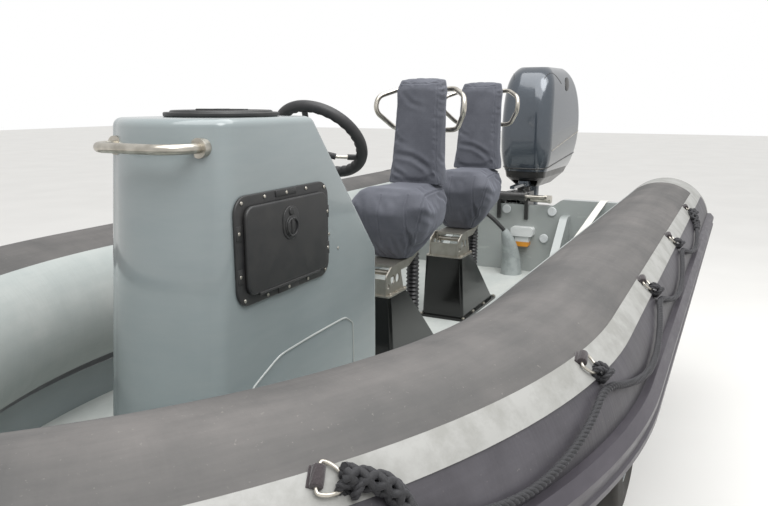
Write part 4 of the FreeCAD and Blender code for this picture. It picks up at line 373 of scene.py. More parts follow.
@dataclass(frozen=True)
class Steel:
    """Bent and polished stainless steel: bright, with fine lines from the wheel and a few dull prints."""

    name: str
    colour: str = "#CFCAC0"
    roughness: float = 0.17
    lay: tuple = (1.0, 1.0, 8.0)

    def make(self) -> Material:
        """Build the material.

        Returns:
            The material.
        """
        made, tree, shader = blank(self.name, Metallic=1.0)
        lines = grain(tree, 9.0, 4.0, self.lay, rough=0.7)
        prints = grain(tree, 45.0)
        share = add(tree, "MapRange", {"Value": prints, "From Min": 0.3, "From Max": 0.6})
        tone = add(tree, "Mix", {0: share, 6: "#A9A49A", 7: self.colour}, **RGBA)
        dull = add(tree, "Math", {0: lines, 1: prints}, operation="MULTIPLY")
        ends = {"To Min": self.roughness + 0.14, "To Max": self.roughness}
        level = add(tree, "MapRange", {"Value": dull, **MIDDLE, **ends})
        relief = add(tree, "Bump", {"Height": lines, "Distance": 0.00002})
        feed(tree, shader, Base_Color=tone, Roughness=level, Normal=relief)
        return made


@dataclass(frozen=True)
class Paint:
    """Sprayed enamel or powder coat on metal: even colour, soft orange peel, dust in its hollows."""

    name: str
    colour: str
    roughness: float = 0.28
    coat: float = 0.4
    metallic: float = 0.0
    dust: float = 0.1
    flake: float = 0.0

    def make(self) -> Material:
        """Build the material.

        Returns:
            The material.
        """
        gloss = {"Coat_Weight": self.coat, "Coat_Roughness": 0.06, "Metallic": self.metallic, "IOR": 1.5}
        made, tree, shader = blank(self.name, **gloss)
        film = grain(tree, 70.0, 6.0, rough=0.66)
        share = add(tree, "Math", {0: grain(tree, 2.2, 1.0), 1: self.flake}, operation="MULTIPLY")
        spark = add(tree, "Mix", {0: share, 6: self.colour, 7: "#B8C2CC"}, **RGBA)
        amount = add(tree, "Math", {0: film, 1: self.dust}, operation="MULTIPLY")
        colour = add(tree, "Mix", {0: amount, 6: spark, 7: "#A9A59C"}, **RGBA)
        ends = {"To Min": self.roughness * 0.8, "To Max": self.roughness * 1.5}
        level = add(tree, "MapRange", {"Value": film, **MIDDLE, **ends})
        peel = add(tree, "Bump", {"Height": grain(tree, 5.0, 1.0), "Distance": 0.00002})
        feed(tree, shader, Base_Color=colour, Roughness=level, Normal=peel)
        return made


@dataclass(frozen=True)
class Moulding:
    """Injection-moulded plastic: eroded grain from the tool, satin, handled smooth in places."""

    name: str
    colour: str
    roughness: float = 0.42
    grain_mm: float = 1.6
    depth_mm: float = 0.05
    wear: str = "#77736C"
    wear_amount: float = 0.12

    def make(self) -> Material:
        """Build the material.

        Returns:
            The material.
        """
        made, tree, shader = blank(self.name, IOR=1.49)
        film = grain(tree, 55.0, 6.0, rough=0.65)
        amount = add(tree, "MapRange", {"Value": film, **MIDDLE, "To Max": self.wear_amount})
        colour = add(tree, "Mix", {0: amount, 6: self.colour, 7: self.wear}, **RGBA)
        ends = {"To Min": self.roughness - 0.08, "To Max": self.roughness + 0.1}
        level = add(tree, "MapRange", {"Value": film, **MIDDLE, **ends})
        eroded = grain(tree, self.grain_mm, 1.0)
        relief = add(tree, "Bump", {"Height": eroded, "Distance": self.depth_mm / 1000})
        feed(tree, shader, Base_Color=colour, Roughness=level, Normal=relief)
        return made


@dataclass(frozen=True)
class NonSlip:
    """Painted non-slip deck: fine sand under a grey topcoat, scuffed by shoes."""

    name: str
    colour: str = "#B2B7B4"
    worn: str = "#C4C7C3"

    def make(self) -> Material:
        """Build the material.

        Returns:
            The material.
        """
        made, tree, shader = blank(self.name, IOR=1.5)
        scuff = grain(tree, 260.0, 7.0, (0.6, 1.0, 1.0), rough=0.68)
        share = add(tree, "MapRange", {"Value": scuff, "From Min": 0.36, "From Max": 0.66})
        tone = add(tree, "Mix", {0: share, 6: self.colour, 7: self.worn}, **RGBA)
        level = add(tree, "MapRange", {"Value": scuff, **MIDDLE, "To Min": 0.62, "To Max": 0.45})
        sand = add(tree, "Bump", {"Height": grain(tree, 5.0, 2.0), "Distance": 0.00035})
        feed(tree, shader, Base_Color=tone, Roughness=level, Normal=sand)
        return made


@dataclass(frozen=True)
class CoverCloth:
    """Woven acrylic cover cloth: plain weave with a soft nap, in blotchy tones with fine darker flecks."""

    name: str
    colour: str = "#45474F"
    faded: str = "#595B63"
    thread_mm: float = 7.854

    def make(self) -> Material:
        """Build the material.

        Returns:
            The material.
        """
        nap = {"Sheen_Weight": 0.35, "Sheen_Roughness": 0.5, "Sheen_Tint": "#AEB2BF"}
        made, tree, shader = blank(self.name, Roughness=0.82, **nap)
        cloud = grain(tree, 150.0, 5.0, rough=0.6)
        share = add(tree, "MapRange", {"Value": cloud, "From Min": 0.34, "From Max": 0.68})
        tone = add(tree, "Mix", {0: share, 6: self.colour, 7: self.faded}, **RGBA)
        heather = add(tree, "Math", {0: grain(tree, 3.0, 2.0), 1: 0.22}, operation="MULTIPLY")
        colour = add(tree, "Mix", {0: heather, 6: tone, 7: "#2B2C33"}, **RGBA)
        feed(tree, shader, Base_Color=colour, Normal=self.relief(tree))
        return made

    def relief(self, tree: NodeTree) -> Node:
        """Threads drawn 8 mm apart, because the real ones, half a millimetre, would not show, over puckers.

        Args:
            tree: the node tree.

        Returns:
            The bump.
        """
        place = add(tree, "TexCoord").outputs["Object"]
        pucker = grain(tree, 38.0, 3.0, (1.0, 1.0, 0.5))
        puckers = add(tree, "Bump", {"Height": pucker, "Distance": 0.0014})
        lay = {"Vector": place, "Scale": WAVE_MM / self.thread_mm}
        rows, columns = [add(tree, "TexWave", lay, bands_direction=way).outputs["Fac"] for way in "ZY"]
        weave = add(tree, "Math", {0: rows, 1: columns}, operation="MULTIPLY")
        return add(tree, "Bump", {"Height": weave, "Distance": 0.00012, "Normal": puckers})


@dataclass(frozen=True)
class LaidRope:
    """Laid polyester rope: three strands of fine yarn, fuzzy where it has been handled."""

    name: str
    colour: str = "#19191B"
    fuzz: str = "#3A3A3D"

    def make(self) -> Material:
        """Build the material.

        Returns:
            The material.
        """
        nap = {"Sheen_Weight": 0.4, "Sheen_Roughness": 0.4, "Sheen_Tint": "#8C8C92"}
        made, tree, shader = blank(self.name, Roughness=0.72, **nap)
        yarn = grain(tree, 2.4)
        fibre = add(tree, "MapRange", {"Value": yarn, **MIDDLE})
        handled = add(tree, "MapRange", {"Value": grain(tree, 120.0), **MIDDLE, "To Min": 0.4})
        amount = add(tree, "Math", {0: fibre, 1: handled}, operation="MULTIPLY")
        colour = add(tree, "Mix", {0: amount, 6: self.colour, 7: self.fuzz}, **RGBA)
        feed(tree, shader, Base_Color=colour, Normal=add(tree, "Bump", {"Height": yarn, "Distance": 0.0005}))
        return made


@dataclass(frozen=True)
class Galvanised:
    """Hot-dip galvanised steel: spangled zinc, dull grey, whiter where water has stood."""

    name: str
    colour: str = "#A4A9AC"
    dull: str = "#868B8E"
    spangles_per_metre: float = 70.0

    def make(self) -> Material:
        """Build the material.

        Returns:
            The material.
        """
        made, tree, shader = blank(self.name, Metallic=0.75)
        place = add(tree, "TexCoord").outputs["Object"]
        cells = {"Vector": place, "Scale": self.spangles_per_metre}
        spangle = add(tree, "TexVoronoi", cells).outputs["Color"]
        shine = add(tree, "SeparateColor", {"Color": spangle})
        stain = grain(tree, 120.0, 6.0, rough=0.66)
        amount = add(tree, "Math", {0: shine, 1: 0.6}, operation="MULTIPLY")
        tone = add(tree, "Mix", {0: amount, 6: self.colour, 7: self.dull}, **RGBA)
        bloom = add(tree, "MapRange", {"Value": stain, **MIDDLE, "To Max": 0.35})
        colour = add(tree, "Mix", {0: bloom, 6: tone, 7: "#C6C9C7"}, **RGBA)
        level = add(tree, "MapRange", {"Value": shine, "To Min": 0.36, "To Max": 0.54})
        relief = add(tree, "Bump", {"Height": stain, "Distance": 0.00025})
        feed(tree, shader, Base_Color=colour, Roughness=level, Normal=relief)
        return made


@dataclass(frozen=True)
class TyreRubber:
    """Cured tyre rubber: black, matt, with road dust in its hollows."""

    name: str
    colour: str = "#1E1E1F"
    dust: str = "#6B6459"

    def make(self) -> Material:
        """Build the material.

        Returns:
            The material.
        """
        made, tree, shader = blank(self.name, IOR=1.5)
        cloud = grain(tree, 60.0, 6.0, rough=0.7)
        share = add(tree, "MapRange", {"Value": cloud, **MIDDLE, "To Max": 0.28})
        colour = add(tree, "Mix", {0: share, 6: self.colour, 7: self.dust}, **RGBA)
        level = add(tree, "MapRange", {"Value": cloud, **MIDDLE, "To Min": 0.6, "To Max": 0.85})
        relief = add(tree, "Bump", {"Height": grain(tree, 3.0), "Distance": 0.00015})
        feed(tree, shader, Base_Color=colour, Roughness=level, Normal=relief)
        return made


@dataclass(frozen=True)
class Pile:
    """Needled carpet or strap webbing: short fibres, no gloss, a ribbed lay."""

    name: str
    colour: str
    tip: str
    rib_mm: float = 11.781

    def make(self) -> Material:
        """Build the material.

        Returns:
            The material.
        """
        made, tree, shader = blank(self.name, Roughness=0.92, Sheen_Weight=0.25, Sheen_Roughness=0.5)
        fibre = grain(tree, 2.5, 4.0)
        lay = {"Vector": add(tree, "TexCoord").outputs["Object"], "Scale": WAVE_MM / self.rib_mm}
        ribs = add(tree, "TexWave", lay, bands_direction="Y").outputs["Fac"]
        share = add(tree, "MapRange", {"Value": fibre, **MIDDLE})
        colour = add(tree, "Mix", {0: share, 6: self.colour, 7: self.tip}, **RGBA)
        nap = add(tree, "Bump", {"Height": fibre, "Distance": 0.0006})
        relief = add(tree, "Bump", {"Height": ribs, "Distance": 0.0004, "Normal": nap})
        feed(tree, shader, Base_Color=colour, Normal=relief)
        return made


@dataclass(frozen=True)
class SplitPlastic:
    """Moulded plastic in two colours that part at a height of the row frame."""

    name: str
    above: str
    below: str
    height: float
    roughness: float = 0.3

    def make(self) -> Material:
        """Build the material.

        Returns:
            The material.
        """
        made, tree, shader = blank(self.name, IOR=1.49, Coat_Weight=0.2)
        place = add(tree, "TexCoord").outputs["Object"]
        parts = add(tree, "SeparateXYZ", {"Vector": place})
        high = add(tree, "Math", {0: parts.outputs["Z"], 1: self.height}, operation="GREATER_THAN")
        film = grain(tree, 25.0, 5.0, rough=0.65)
        plain = add(tree, "Mix", {0: high, 6: self.below, 7: self.above}, **RGBA)
        soil = add(tree, "Math", {0: film, 1: 0.16}, operation="MULTIPLY")
        colour = add(tree, "Mix", {0: soil, 6: plain, 7: "#8A857B"}, **RGBA)
        ends = {"To Min": self.roughness, "To Max": self.roughness + 0.2}
        level = add(tree, "MapRange", {"Value": film, **MIDDLE, **ends})
        relief = add(tree, "Bump", {"Height": film, "Distance": 0.0004})
        feed(tree, shader, Base_Color=colour, Roughness=level, Normal=relief)
        return made


class Palette:
    """The finishes by the name of the record's material slot."""

    FINISHES = {
        "gelcoat": Gelcoat("gelcoat_blue_grey", "#848E90", "#7C8688"),
        "gelcoat_light": Gelcoat("gelcoat_light_grey", "#9EA3A1", "#949A99", 0.18),
        "deck_grey": NonSlip("deck_non_slip"),
        "tube_fabric": TubeFabric("tube_fabric"),
        "tube_light": CoatedCloth("band_cloth_light", "#9A9A97", "#8A8A86"),
        "tube_patch": CoatedCloth("patch_cloth_dark", "#4B484B", "#625E60", 0.46),
        "strake_rubber": Rubber("strake_rubber", "#37343A", "#6A656C", 0.36),
        "stainless": Steel("stainless_polished"),
        "brushed": Steel("stainless_brushed", "#B9B6AE", 0.30, (1.0, 14.0, 1.0)),
        "rope": LaidRope("laid_rope_black"),
        "black_plastic": Moulding("black_moulding", "#222325"),
        "wheel_rim": Moulding("rim_foam", "#232427", 0.5, 2.4, 0.12),
        "black_paint": Paint("black_enamel", "#060707", 0.14, 0.15, dust=0.015),
        "gaiter_rubber": Rubber("gaiter_rubber", "#1B1B1D", "#3E3E42", 0.38, 0.25),
        "seat_cover": CoverCloth("cover_cloth"),
        "engine_black": Paint("engine_satin_black", "#17181A", 0.3, 0.25, dust=0.1),
        "engine_blue": Paint("engine_metallic_blue", "#28313B", 0.16, 1.0, 0.35, 0.03, 0.14),
        "powerhead_alloy": Paint("cast_block", "#73767A", 0.45, 0.0, 0.6),
        "propeller_alloy": Paint("propeller_black", "#1C1D1F", 0.25, 0.5),
        "white_plastic": Moulding("white_moulding", "#D7DBDC", 0.3, 3.0, 0.03, "#9A978E", 0.25),
        "amber_plastic": SplitPlastic("amber_and_white_moulding", "#D9DCDB", "#DE9420", 0.948),
        "boot_vinyl": CoatedCloth("boot_vinyl", "#9FA5A4", "#868C8B", 0.34),
        "galvanised": Galvanised("galvanised_steel"),
        "tyre": TyreRubber("tyre_rubber"),
        "bunk_carpet": Pile("bunk_carpet", "#1B1B1E", "#3B3A3C"),
        "webbing": Pile("strap_webbing", "#C9C8C2", "#E2E0DA", 5.8905),
        "dark_webbing": Pile("dark_webbing", "#262123", "#433C3E", 5.8905),
        "lamp_board": SplitPlastic("lamp_board_plastic", "#C8C9C7", "#A01C1C", 0.372),
    }

    def __init__(self) -> None:
        """Start with nothing made."""
        self.made: dict[str, Material] = {}

    def get(self, slot: str) -> Material:
        """Make a finish once and hand it out.

        Args:
            slot: a name in FINISHES.

        Returns:
            The material.
        """
        if slot not in self.made:
            self.made[slot] = self.FINISHES[slot].make()
        return self.made[slot]


# The workbench: small steps on meshes with Blender's operators


def put_down() -> None:
    """Leave edit mode and select nothing."""
    if bpy.context.object is not None and bpy.context.object.mode != "OBJECT":
        bpy.ops.object.mode_set(mode="OBJECT")
    bpy.ops.object.select_all(action="DESELECT")


def take(obj: Object) -> Object:
    """Select one object alone and make it active.

    Args:
        obj: the object.

    Returns:
        The same object.
    """
    put_down()
    obj.select_set(True)
    bpy.context.view_layer.objects.active = obj
    return obj


def named(name: str) -> Object:
    """Name the new active object and put its place in its mesh.

    Args:
        name: the piece's name.

    Returns:
        The object.
    """
    obj = bpy.context.object
    obj.name = name
    obj.data.name = name
    bpy.ops.object.transform_apply(location=True, rotation=True, scale=True)
    return obj


def edit(obj: Object, mode: str = "FACE") -> None:
    """Go into edit mode with everything selected.

    Args:
        obj: the mesh object.
        mode: what is selected: VERT, EDGE or FACE.
    """
    take(obj)
    bpy.ops.object.mode_set(mode="EDIT")
    bpy.ops.mesh.select_mode(type=mode)
    bpy.ops.mesh.select_all(action="SELECT")


def done() -> None:
    """Go back to object mode."""
    bpy.ops.object.mode_set(mode="OBJECT")


def pick(obj: Object, test: Callable[[Vector, Vector], bool]) -> None:
    """Select the faces that a test accepts, and stay in edit mode.

    Args:
        obj: the mesh object, in edit mode.
        test: takes a face's centre and normal.
    """
    bpy.ops.mesh.select_mode(type="FACE")
    bpy.ops.mesh.select_all(action="DESELECT")
    done()
    for face in obj.data.polygons:
        face.select = bool(test(face.center, face.normal))
    bpy.ops.object.mode_set(mode="EDIT")


def modifier(obj: Object, kind: str, **settings) -> None:
    """Add a modifier and apply it.

    Args:
        obj: the mesh object.
        kind: Blender's name of the modifier.
        settings: its attributes.
    """
    take(obj)
    made = obj.modifiers.new(kind.lower(), kind)
    for name, value in settings.items():
        setattr(made, name, value)
    bpy.ops.object.modifier_apply(modifier=made.name)


def outward(obj: Object) -> None:
    """Merge doubles and turn every face outwards.

    Args:
        obj: the mesh object.
    """
    edit(obj)
    bpy.ops.mesh.remove_doubles(threshold=1e-5)
    bpy.ops.mesh.normals_make_consistent(inside=False)
    done()


def copy_mesh(obj: Object, name: str, move: Optional[Matrix] = None) -> Object:
    """Copy a piece with a mesh of its own.

    Args:
        obj: the piece.
        name: the copy's name.
        move: what is done to the copy's mesh.

    Returns:
        The copy.
    """
    take(obj)
    bpy.ops.object.duplicate(linked=False)
    made = bpy.context.object
    made.name = name
    made.data.name = name
    made.hide_render = False
    made.hide_viewport = False
    for key in [key for key in made.keys() if key.startswith("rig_")]:
        del made[key]
    made.parent = None
    made.matrix_world = Matrix.Identity(4)
    if move is not None:
        made.data.transform(move)
        if move.determinant() < 0:
            outward(made)
    return made


def join(name: str, pieces: Sequence[Object]) -> Object:
    """Join several pieces into one.

    Args:
        name: the name of the result.
        pieces: the pieces, of which the first one stays.

    Returns:
        The joined piece.
    """
    put_down()
    for piece in pieces:
        piece.select_set(True)
    bpy.context.view_layer.objects.active = pieces[0]
    if len(pieces) > 1:
        bpy.ops.object.join()
    made = bpy.context.object
    made.name = name
    made.data.name = name
    return made


def finish_piece(
    obj: Object,
    palette: Palette,
    slot: str,
    body: str = "boat",
    angle: float = 35.0,
) -> Object:
    """Give a piece its finish, smooth shading and body.

    Args:
        obj: the piece.
        palette: the finishes.
        slot: the finish's name.
        body: the body that it rides on.
        angle: edges sharper than this stay sharp, in degrees.

    Returns:
        The piece.
    """
    take(obj)
    obj.data.materials.clear()
    obj.data.materials.append(palette.get(slot))
    bpy.ops.object.shade_smooth_by_angle(angle=math.radians(angle))
    put_down()
    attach(obj, body)
    return obj


def into_scene(name: str, data: bpy.types.ID) -> Object:
    """Put a curve, camera or lamp into the scene.

    Args:
        name: the object's name.
        data: what it shows.

    Returns:
        The object.
    """
    obj = bpy.data.objects.new(name, data)
    bpy.context.scene.collection.objects.link(obj)
    return obj


class Run(Enum):
    """How a line goes from point to point, by Blender's name."""

    SMOOTH = "NURBS"
    STRAIGHT = "POLY"


def draw_line(
    name: str, points: Sequence[Vector], kind: Run, steps: int = 12, closed: bool = False
) -> Object:
    """A curve object of one spline.

    Args:
        name: the object's name.
        points: its points or control points, in metres.
        kind: whether it rounds its corners.
        steps: how finely a smooth line is divided.
        closed: whether it closes.

    Returns:
        The curve object.
    """
    curve = bpy.data.curves.new(name, "CURVE")
    curve.dimensions = "3D"
    curve.resolution_u = steps
    line = curve.splines.new(kind.value)
    line.points.add(len(points) - 1)
    for point, place in zip(line.points, points):
        point.co = (*place, 1.0)
    line.order_u = 3
    line.use_endpoint_u = not closed
    line.use_cyclic_u = closed
    return into_scene(name, curve)


def tube_along(
    name: str,
    points: Sequence[Vector],
    radius: float,
    sides: int = 10,
    closed: bool = False,
    kind: Run = Run.SMOOTH,
) -> Object:
    """A round bar along a line.

    Args:
        name: the piece's name.
        points: its points or control points, in metres.
        radius: the bar's radius, in metres.
        sides: faces round the bar.
        closed: whether the line closes.
        kind: whether the line rounds its corners.

    Returns:
        The bar as a mesh object.
    """
    put_down()
    obj = draw_line(name, points, kind, 6, closed)
    obj.data.bevel_depth = radius
    obj.data.bevel_resolution = max(0, sides // 2 - 2)
    obj.data.use_fill_caps = True
    take(obj)
    bpy.ops.object.convert(target="MESH")
    return named(name)


# The collar, its ropes and the covers


@dataclass(frozen=True)
class TubeLine:
    """Plan line of the collar: on each side a straight run, a wide arc and a tight arc to the nose."""

    straight: float = 2.700
    half_spacing: float = 0.877
    bow: float = 1.360
    level: float = 1.106
    radius: float = 0.250
    turn: float = math.radians(45)

    def arcs(self) -> tuple[float, float]:
        """The two arcs.

        Returns:
            The radii of the wide and the tight one.
        """
        s = math.sin(self.turn)
        c = math.cos(self.turn)
        share = (1 - c) * (1 - s) - c * s
        wide = (self.half_spacing * (1 - s) - c * self.bow) / share
        tight = (self.bow * (1 - c) - self.half_spacing * s) / share
        return wide, tight

    def at(self, s: float) -> tuple[float, float, float]:
        """Point and heading at a length from the transom.

        Args:
            s: length along the port side, in metres.

        Returns:
            x in the row frame, y, and the angle of the outward side forward of port.
        """
        wide, tight = self.arcs()
        if s <= self.straight:
            return AFT_X + s, self.half_spacing, 0.0
        past = s - self.straight
        if past <= wide * self.turn:
            a = past / wide
            return (
                AFT_X + self.straight + wide * math.sin(a),
                self.half_spacing - wide * (1 - math.cos(a)),
                a,
            )
        a = self.turn + (past - wide * self.turn) / tight
        centre = AFT_X + self.straight + (wide - tight) * math.sin(self.turn)
        return centre + tight * math.sin(a), tight * math.cos(a), a

    def skin(self, s: float, angle: float, out: float = 0.0, side: Side = Side.PORT) -> Vector:
        """Point on the skin.

        Args:
            s: length from the transom, in metres.
            angle: degrees up from level on the outboard side.
            out: height above the skin, in metres.
            side: which side.

        Returns:
            The point in the row frame.
        """
        x, y, heading = self.at(s)
        reach = (self.radius + out) * math.cos(math.radians(angle))
        up = (self.radius + out) * math.sin(math.radians(angle))
        return Vector(
            (x + reach * math.sin(heading), side.value * (y + reach * math.cos(heading)), self.level + up)
        )

    def locate(self, point: Vector) -> tuple[float, float]:
        """Where a point lies along and round the tube.

        Args:
            point: a point in the row frame; the starboard side counts as the port side.

        Returns:
            Length from the transom, and the angle round the tube in turns.
        """
        wide, tight = self.arcs()
        x = point.x - AFT_X
        y = abs(point.y)
        if x <= self.straight:
            s, out = x, y - self.half_spacing
        else:
            a = math.atan2(x - self.straight, y - self.half_spacing + wide)
            if a <= self.turn:
                s = self.straight + wide * a
                out = math.hypot(x - self.straight, y - self.half_spacing + wide) - wide
            else:
                centre = self.straight + (wide - tight) * math.sin(self.turn)
                a = math.atan2(x - centre, y)
                s = self.straight + wide * self.turn + tight * (a - self.turn)
                out = math.hypot(x - centre, y) - tight
        return s, math.degrees(math.atan2(point.z - self.level, out)) / 360 % 1.0


@dataclass
class Collar:
    """The inflated tube in one skin, with a map that follows it."""

    line: TubeLine
    palette: Palette
    sides: int = 96
    step: float = 0.030
    nose_steps: int = 24
    # What the map adds to U, so that the port side lies above it and the starboard side below.
    map_middle: float = 7.0

    def build(self) -> None:
        """Build and dress the tube."""
        skin = self.tube()
        self.map_along(skin)
        finish_piece(skin, self.palette, "tube_fabric", angle=60)
        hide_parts("collar")

    def tube(self) -> Object:
        """Draw a circle and take it along one side, then mirror it.

        Returns:
            The tube's skin.
        """
        low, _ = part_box("collar")
        wide, tight = self.line.arcs()
        corner = AFT_X + self.line.straight
        put_down()
        bpy.ops.mesh.primitive_circle_add(
            vertices=self.sides,
            radius=self.line.radius,
            location=(low.x, self.line.half_spacing, self.line.level),
            rotation=(0.0, math.pi / 2, 0.0),
        )
        obj = named("tube_skin")
        edit(obj, "EDGE")
        count = round((corner - low.x) / self.step)
        for _ in range(count):
            bpy.ops.mesh.extrude_edges_move(
                TRANSFORM_OT_translate={"value": ((corner - low.x) / count, 0.0, 0.0)}
            )
        bpy.ops.mesh.spin(
            steps=round(wide * self.line.turn / self.step),
            angle=self.line.turn,
            center=(corner, self.line.half_spacing - wide, self.line.level),
            axis=(0.0, 0.0, 1.0),
        )
        centre = corner + (wide - tight) * math.sin(self.line.turn)
        bpy.ops.mesh.spin(
            steps=self.nose_steps,
            angle=math.pi / 2 - self.line.turn,
            center=(centre, 0.0, self.line.level),
            axis=(0.0, 0.0, 1.0),
        )
        done()
        modifier(obj, "MIRROR", use_axis=(False, True, False), use_clip=True, merge_threshold=1e-4)
        outward(obj)
        return obj

    def map_along(self, obj: Object) -> None:
        """Write the length along the tube and the turn round it as the UV map.

        Args:
            obj: the tube.
        """
        mesh = obj.data
        for layer in list(mesh.uv_layers):
            mesh.uv_layers.remove(layer)
        layer = mesh.uv_layers.new(name="along")
        places = [self.line.locate(v.co) for v in mesh.vertices]
        for face in mesh.polygons:
            turns = [places[mesh.loops[i].vertex_index][1] for i in face.loop_indices]
            wraps = max(turns) - min(turns) > 0.5
            port = 1 if face.center.y >= 0 else -1
            for i, turn in zip(face.loop_indices, turns):
                s = places[mesh.loops[i].vertex_index][0]
                v = turn + 1.0 if wraps and turn < 0.5 else turn
                layer.data[i].uv = (port * s + self.map_middle, v)


@dataclass
class Lifeline:
    """Rope that hangs from ring to ring along one side, with an eye splice at its first and last ring."""

    line: TubeLine
    palette: Palette
    side: Side
    diameter: float = 0.018
    stations: tuple = (3.600, 2.980, 2.250, 1.450, 0.580)
    lay: float = 0.039
    ends: tuple = (
        ((3.590, 46.0, 0.020), (3.56, 42.5, 0.022), (3.525, 37.5, 0.021)),
        ((0.596, 41.0, 0.020), (0.620, 39.0, 0.021), (0.650, 36.0, 0.019)),
    )

    def route(self) -> list[Vector]:
        """Control points from the foremost ring to the aftmost, low between the rings.

        Returns:
            The points.
        """
        points = []
        for i, s in enumerate(self.stations):
            points.append(self.line.skin(s, 33.0, 0.016, self.side))
            if i + 1 < len(self.stations):
                reach = self.stations[i + 1] - s
                for share, low in ((0.14, 8.0), (0.32, 15.0), (0.5, 18.0), (0.68, 15.0), (0.86, 8.0)):
                    points.append(self.line.skin(s + reach * share, 33.0 - low, 0.014, self.side))
        return points

    def splice(self, name: str, way: Sequence[tuple], rope: Sequence[Vector]) -> Object:
        """A plaited eye splice from a ring down to the rope, with the stubs of its strands.

        Args:
            name: the splice's name.
            way: length along the tube, angle and height above the skin of the points down from the ring.
            rope: the points of the rope that it then follows.

        Returns:
            The splice.
        """
        ring = [self.line.skin(s, angle, out, self.side) for s, angle, out in way]
        return braid(name, smooth_line(name, ring + list(rope)), 0.0122, 0.0066, 0.085)

    def build(self, hitches: Object) -> None:
        """Args:
            hitches: the turns that hold it at its rings; not used.
        """
        name = f"lifeline_{self.side.name.lower()}"
        path = smooth_line(f"{name}_route", self.route())
        rope = lay_rope(f"{name}_rope", path, self.diameter, self.lay)
        finish_piece(rope, self.palette, "rope", angle=60)
        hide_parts(name)
        # The strands' stubs lie on the rope about 0.1 to 0.17 m from each of its ends.
        even = resample(path, 0.01)
        followed = (even[11:18:3], even[-10:-17:-3])
        made = []
        for i, (way, rest) in enumerate(zip(self.ends, followed)):
            made.append(self.splice(f"{name}_{i}", way, rest))
        splices = join(f"{name}_splices", made)
        finish_piece(splices, self.palette, "rope", angle=60)


def smooth_line(name: str, points: Sequence[Vector]) -> list[Vector]:
    """Points of the smooth line that a route's control points give.

    Args:
        name: a name for the route.
        points: its control points, in metres.

    Returns:
        The line's points.
    """
    holder = draw_line(name, points, Run.SMOOTH)
    bpy.context.view_layer.update()
    mesh = bpy.data.meshes.new_from_object(holder.evaluated_get(bpy.context.evaluated_depsgraph_get()))
    line = [v.co.copy() for v in mesh.vertices]
    bpy.data.meshes.remove(mesh)
    bpy.data.objects.remove(holder)
    return line


def distances(points: Sequence[Vector]) -> list[float]:
    """How far each point of a line lies from its start.

    Args:
        points: the line.

    Returns:
        The lengths walked, of which the last is the line's own.
    """
    walked = [0.0]
    for a, b in zip(points, points[1:]):
        walked.append(walked[-1] + (b - a).length)
    return walked


def resample(points: Sequence[Vector], step: float) -> list[Vector]:
    """Walk along a line at an even step.

    Args:
        points: the line.
        step: the wanted distance, in metres.

    Returns:
        Points from the first to the last.
    """
    lengths = distances(points)
    count = max(2, round(lengths[-1] / step))
    walked = []
    i = 0
    for k in range(count + 1):
        goal = lengths[-1] * k / count
        while i < len(points) - 2 and lengths[i + 1] < goal:
            i += 1
        stretch = lengths[i + 1] - lengths[i]
        share = (goal - lengths[i]) / stretch if stretch > 0 else 0.0
        walked.append(points[i].lerp(points[i + 1], min(1.0, max(0.0, share))))
    return walked


def frames(points: Sequence[Vector]) -> list[tuple[Vector, Vector]]:
    """Directions across a line that don't twist about it.

    Args:
        points: the line.

    Returns:
        For each point two directions, square to the line and to each other.
    """
    found = []
    across = None
    for i in range(len(points)):
        ahead = points[min(i + 1, len(points) - 1)]
        behind = points[max(i - 1, 0)]
        tangent = (ahead - behind).normalized()
        if across is None:
            across = tangent.cross(UP if abs(tangent.z) < 0.9 else AHEAD).normalized()
        across = (across - tangent * across.dot(tangent)).normalized()
        found.append((across, tangent.cross(across)))
    return found


def wind(centre: Sequence[Vector], angles: Sequence[float], reaches: Sequence[float]) -> list[Vector]:
    """Wind a line round another.

    Args:
        centre: the points of the line in the middle.
        angles: the turn about each point.
        reaches: the distance from each point, in metres.

    Returns:
        The wound line's points.
    """
    return [
        point + across * (reach * math.cos(angle)) + up * (reach * math.sin(angle))
        for point, (across, up), angle, reach in zip(centre, frames(centre), angles, reaches)
    ]


def lay_rope(
    name: str, path: Sequence[Vector], diameter: float, lay: float, sides: int = 8, step: float = 0.006
) -> Object:
    """Lay three strands round a line as a rope maker does, each pressed a little into the others.

    Args:
        name: the piece's name.
        path: the line.
        diameter: of the whole rope, in metres.
        lay: length of one full turn of a strand, in metres.
        sides: faces round a strand.
        step: distance between a strand's sections, in metres.

    Returns:
        The rope as one mesh.
    """
    strands = 3
    pressed = 1.12
    thick = diameter / 2 / (1.0 + 1.0 / math.sin(math.pi / strands)) * pressed
    centre = resample(path, step)
    walked = distances(centre)
    reaches = [diameter / 2 - thick] * len(centre)
    made = []
    for k in range(strands):
        points = wind(centre, [math.tau * (way / lay + k / strands) for way in walked], reaches)
        made.append(tube_along(f"{name}_{k}", points, thick, sides, kind=Run.STRAIGHT))
    return join(name, made)


@dataclass(frozen=True)
class Fold:
    """A line pressed into a cover, or raised from it.

    Its points are x forward of the seat's station, y and z, in metres, and lie close to the cover.
    """

    points: tuple
    depth: float
    width: float
    lip: float = 0.0
    fades: bool = True

    def mirrored(self) -> "Fold":
        """The same line on the other side of the boat's middle."""
        return replace(self, points=tuple((x, -y, z) for x, y, z in self.points))


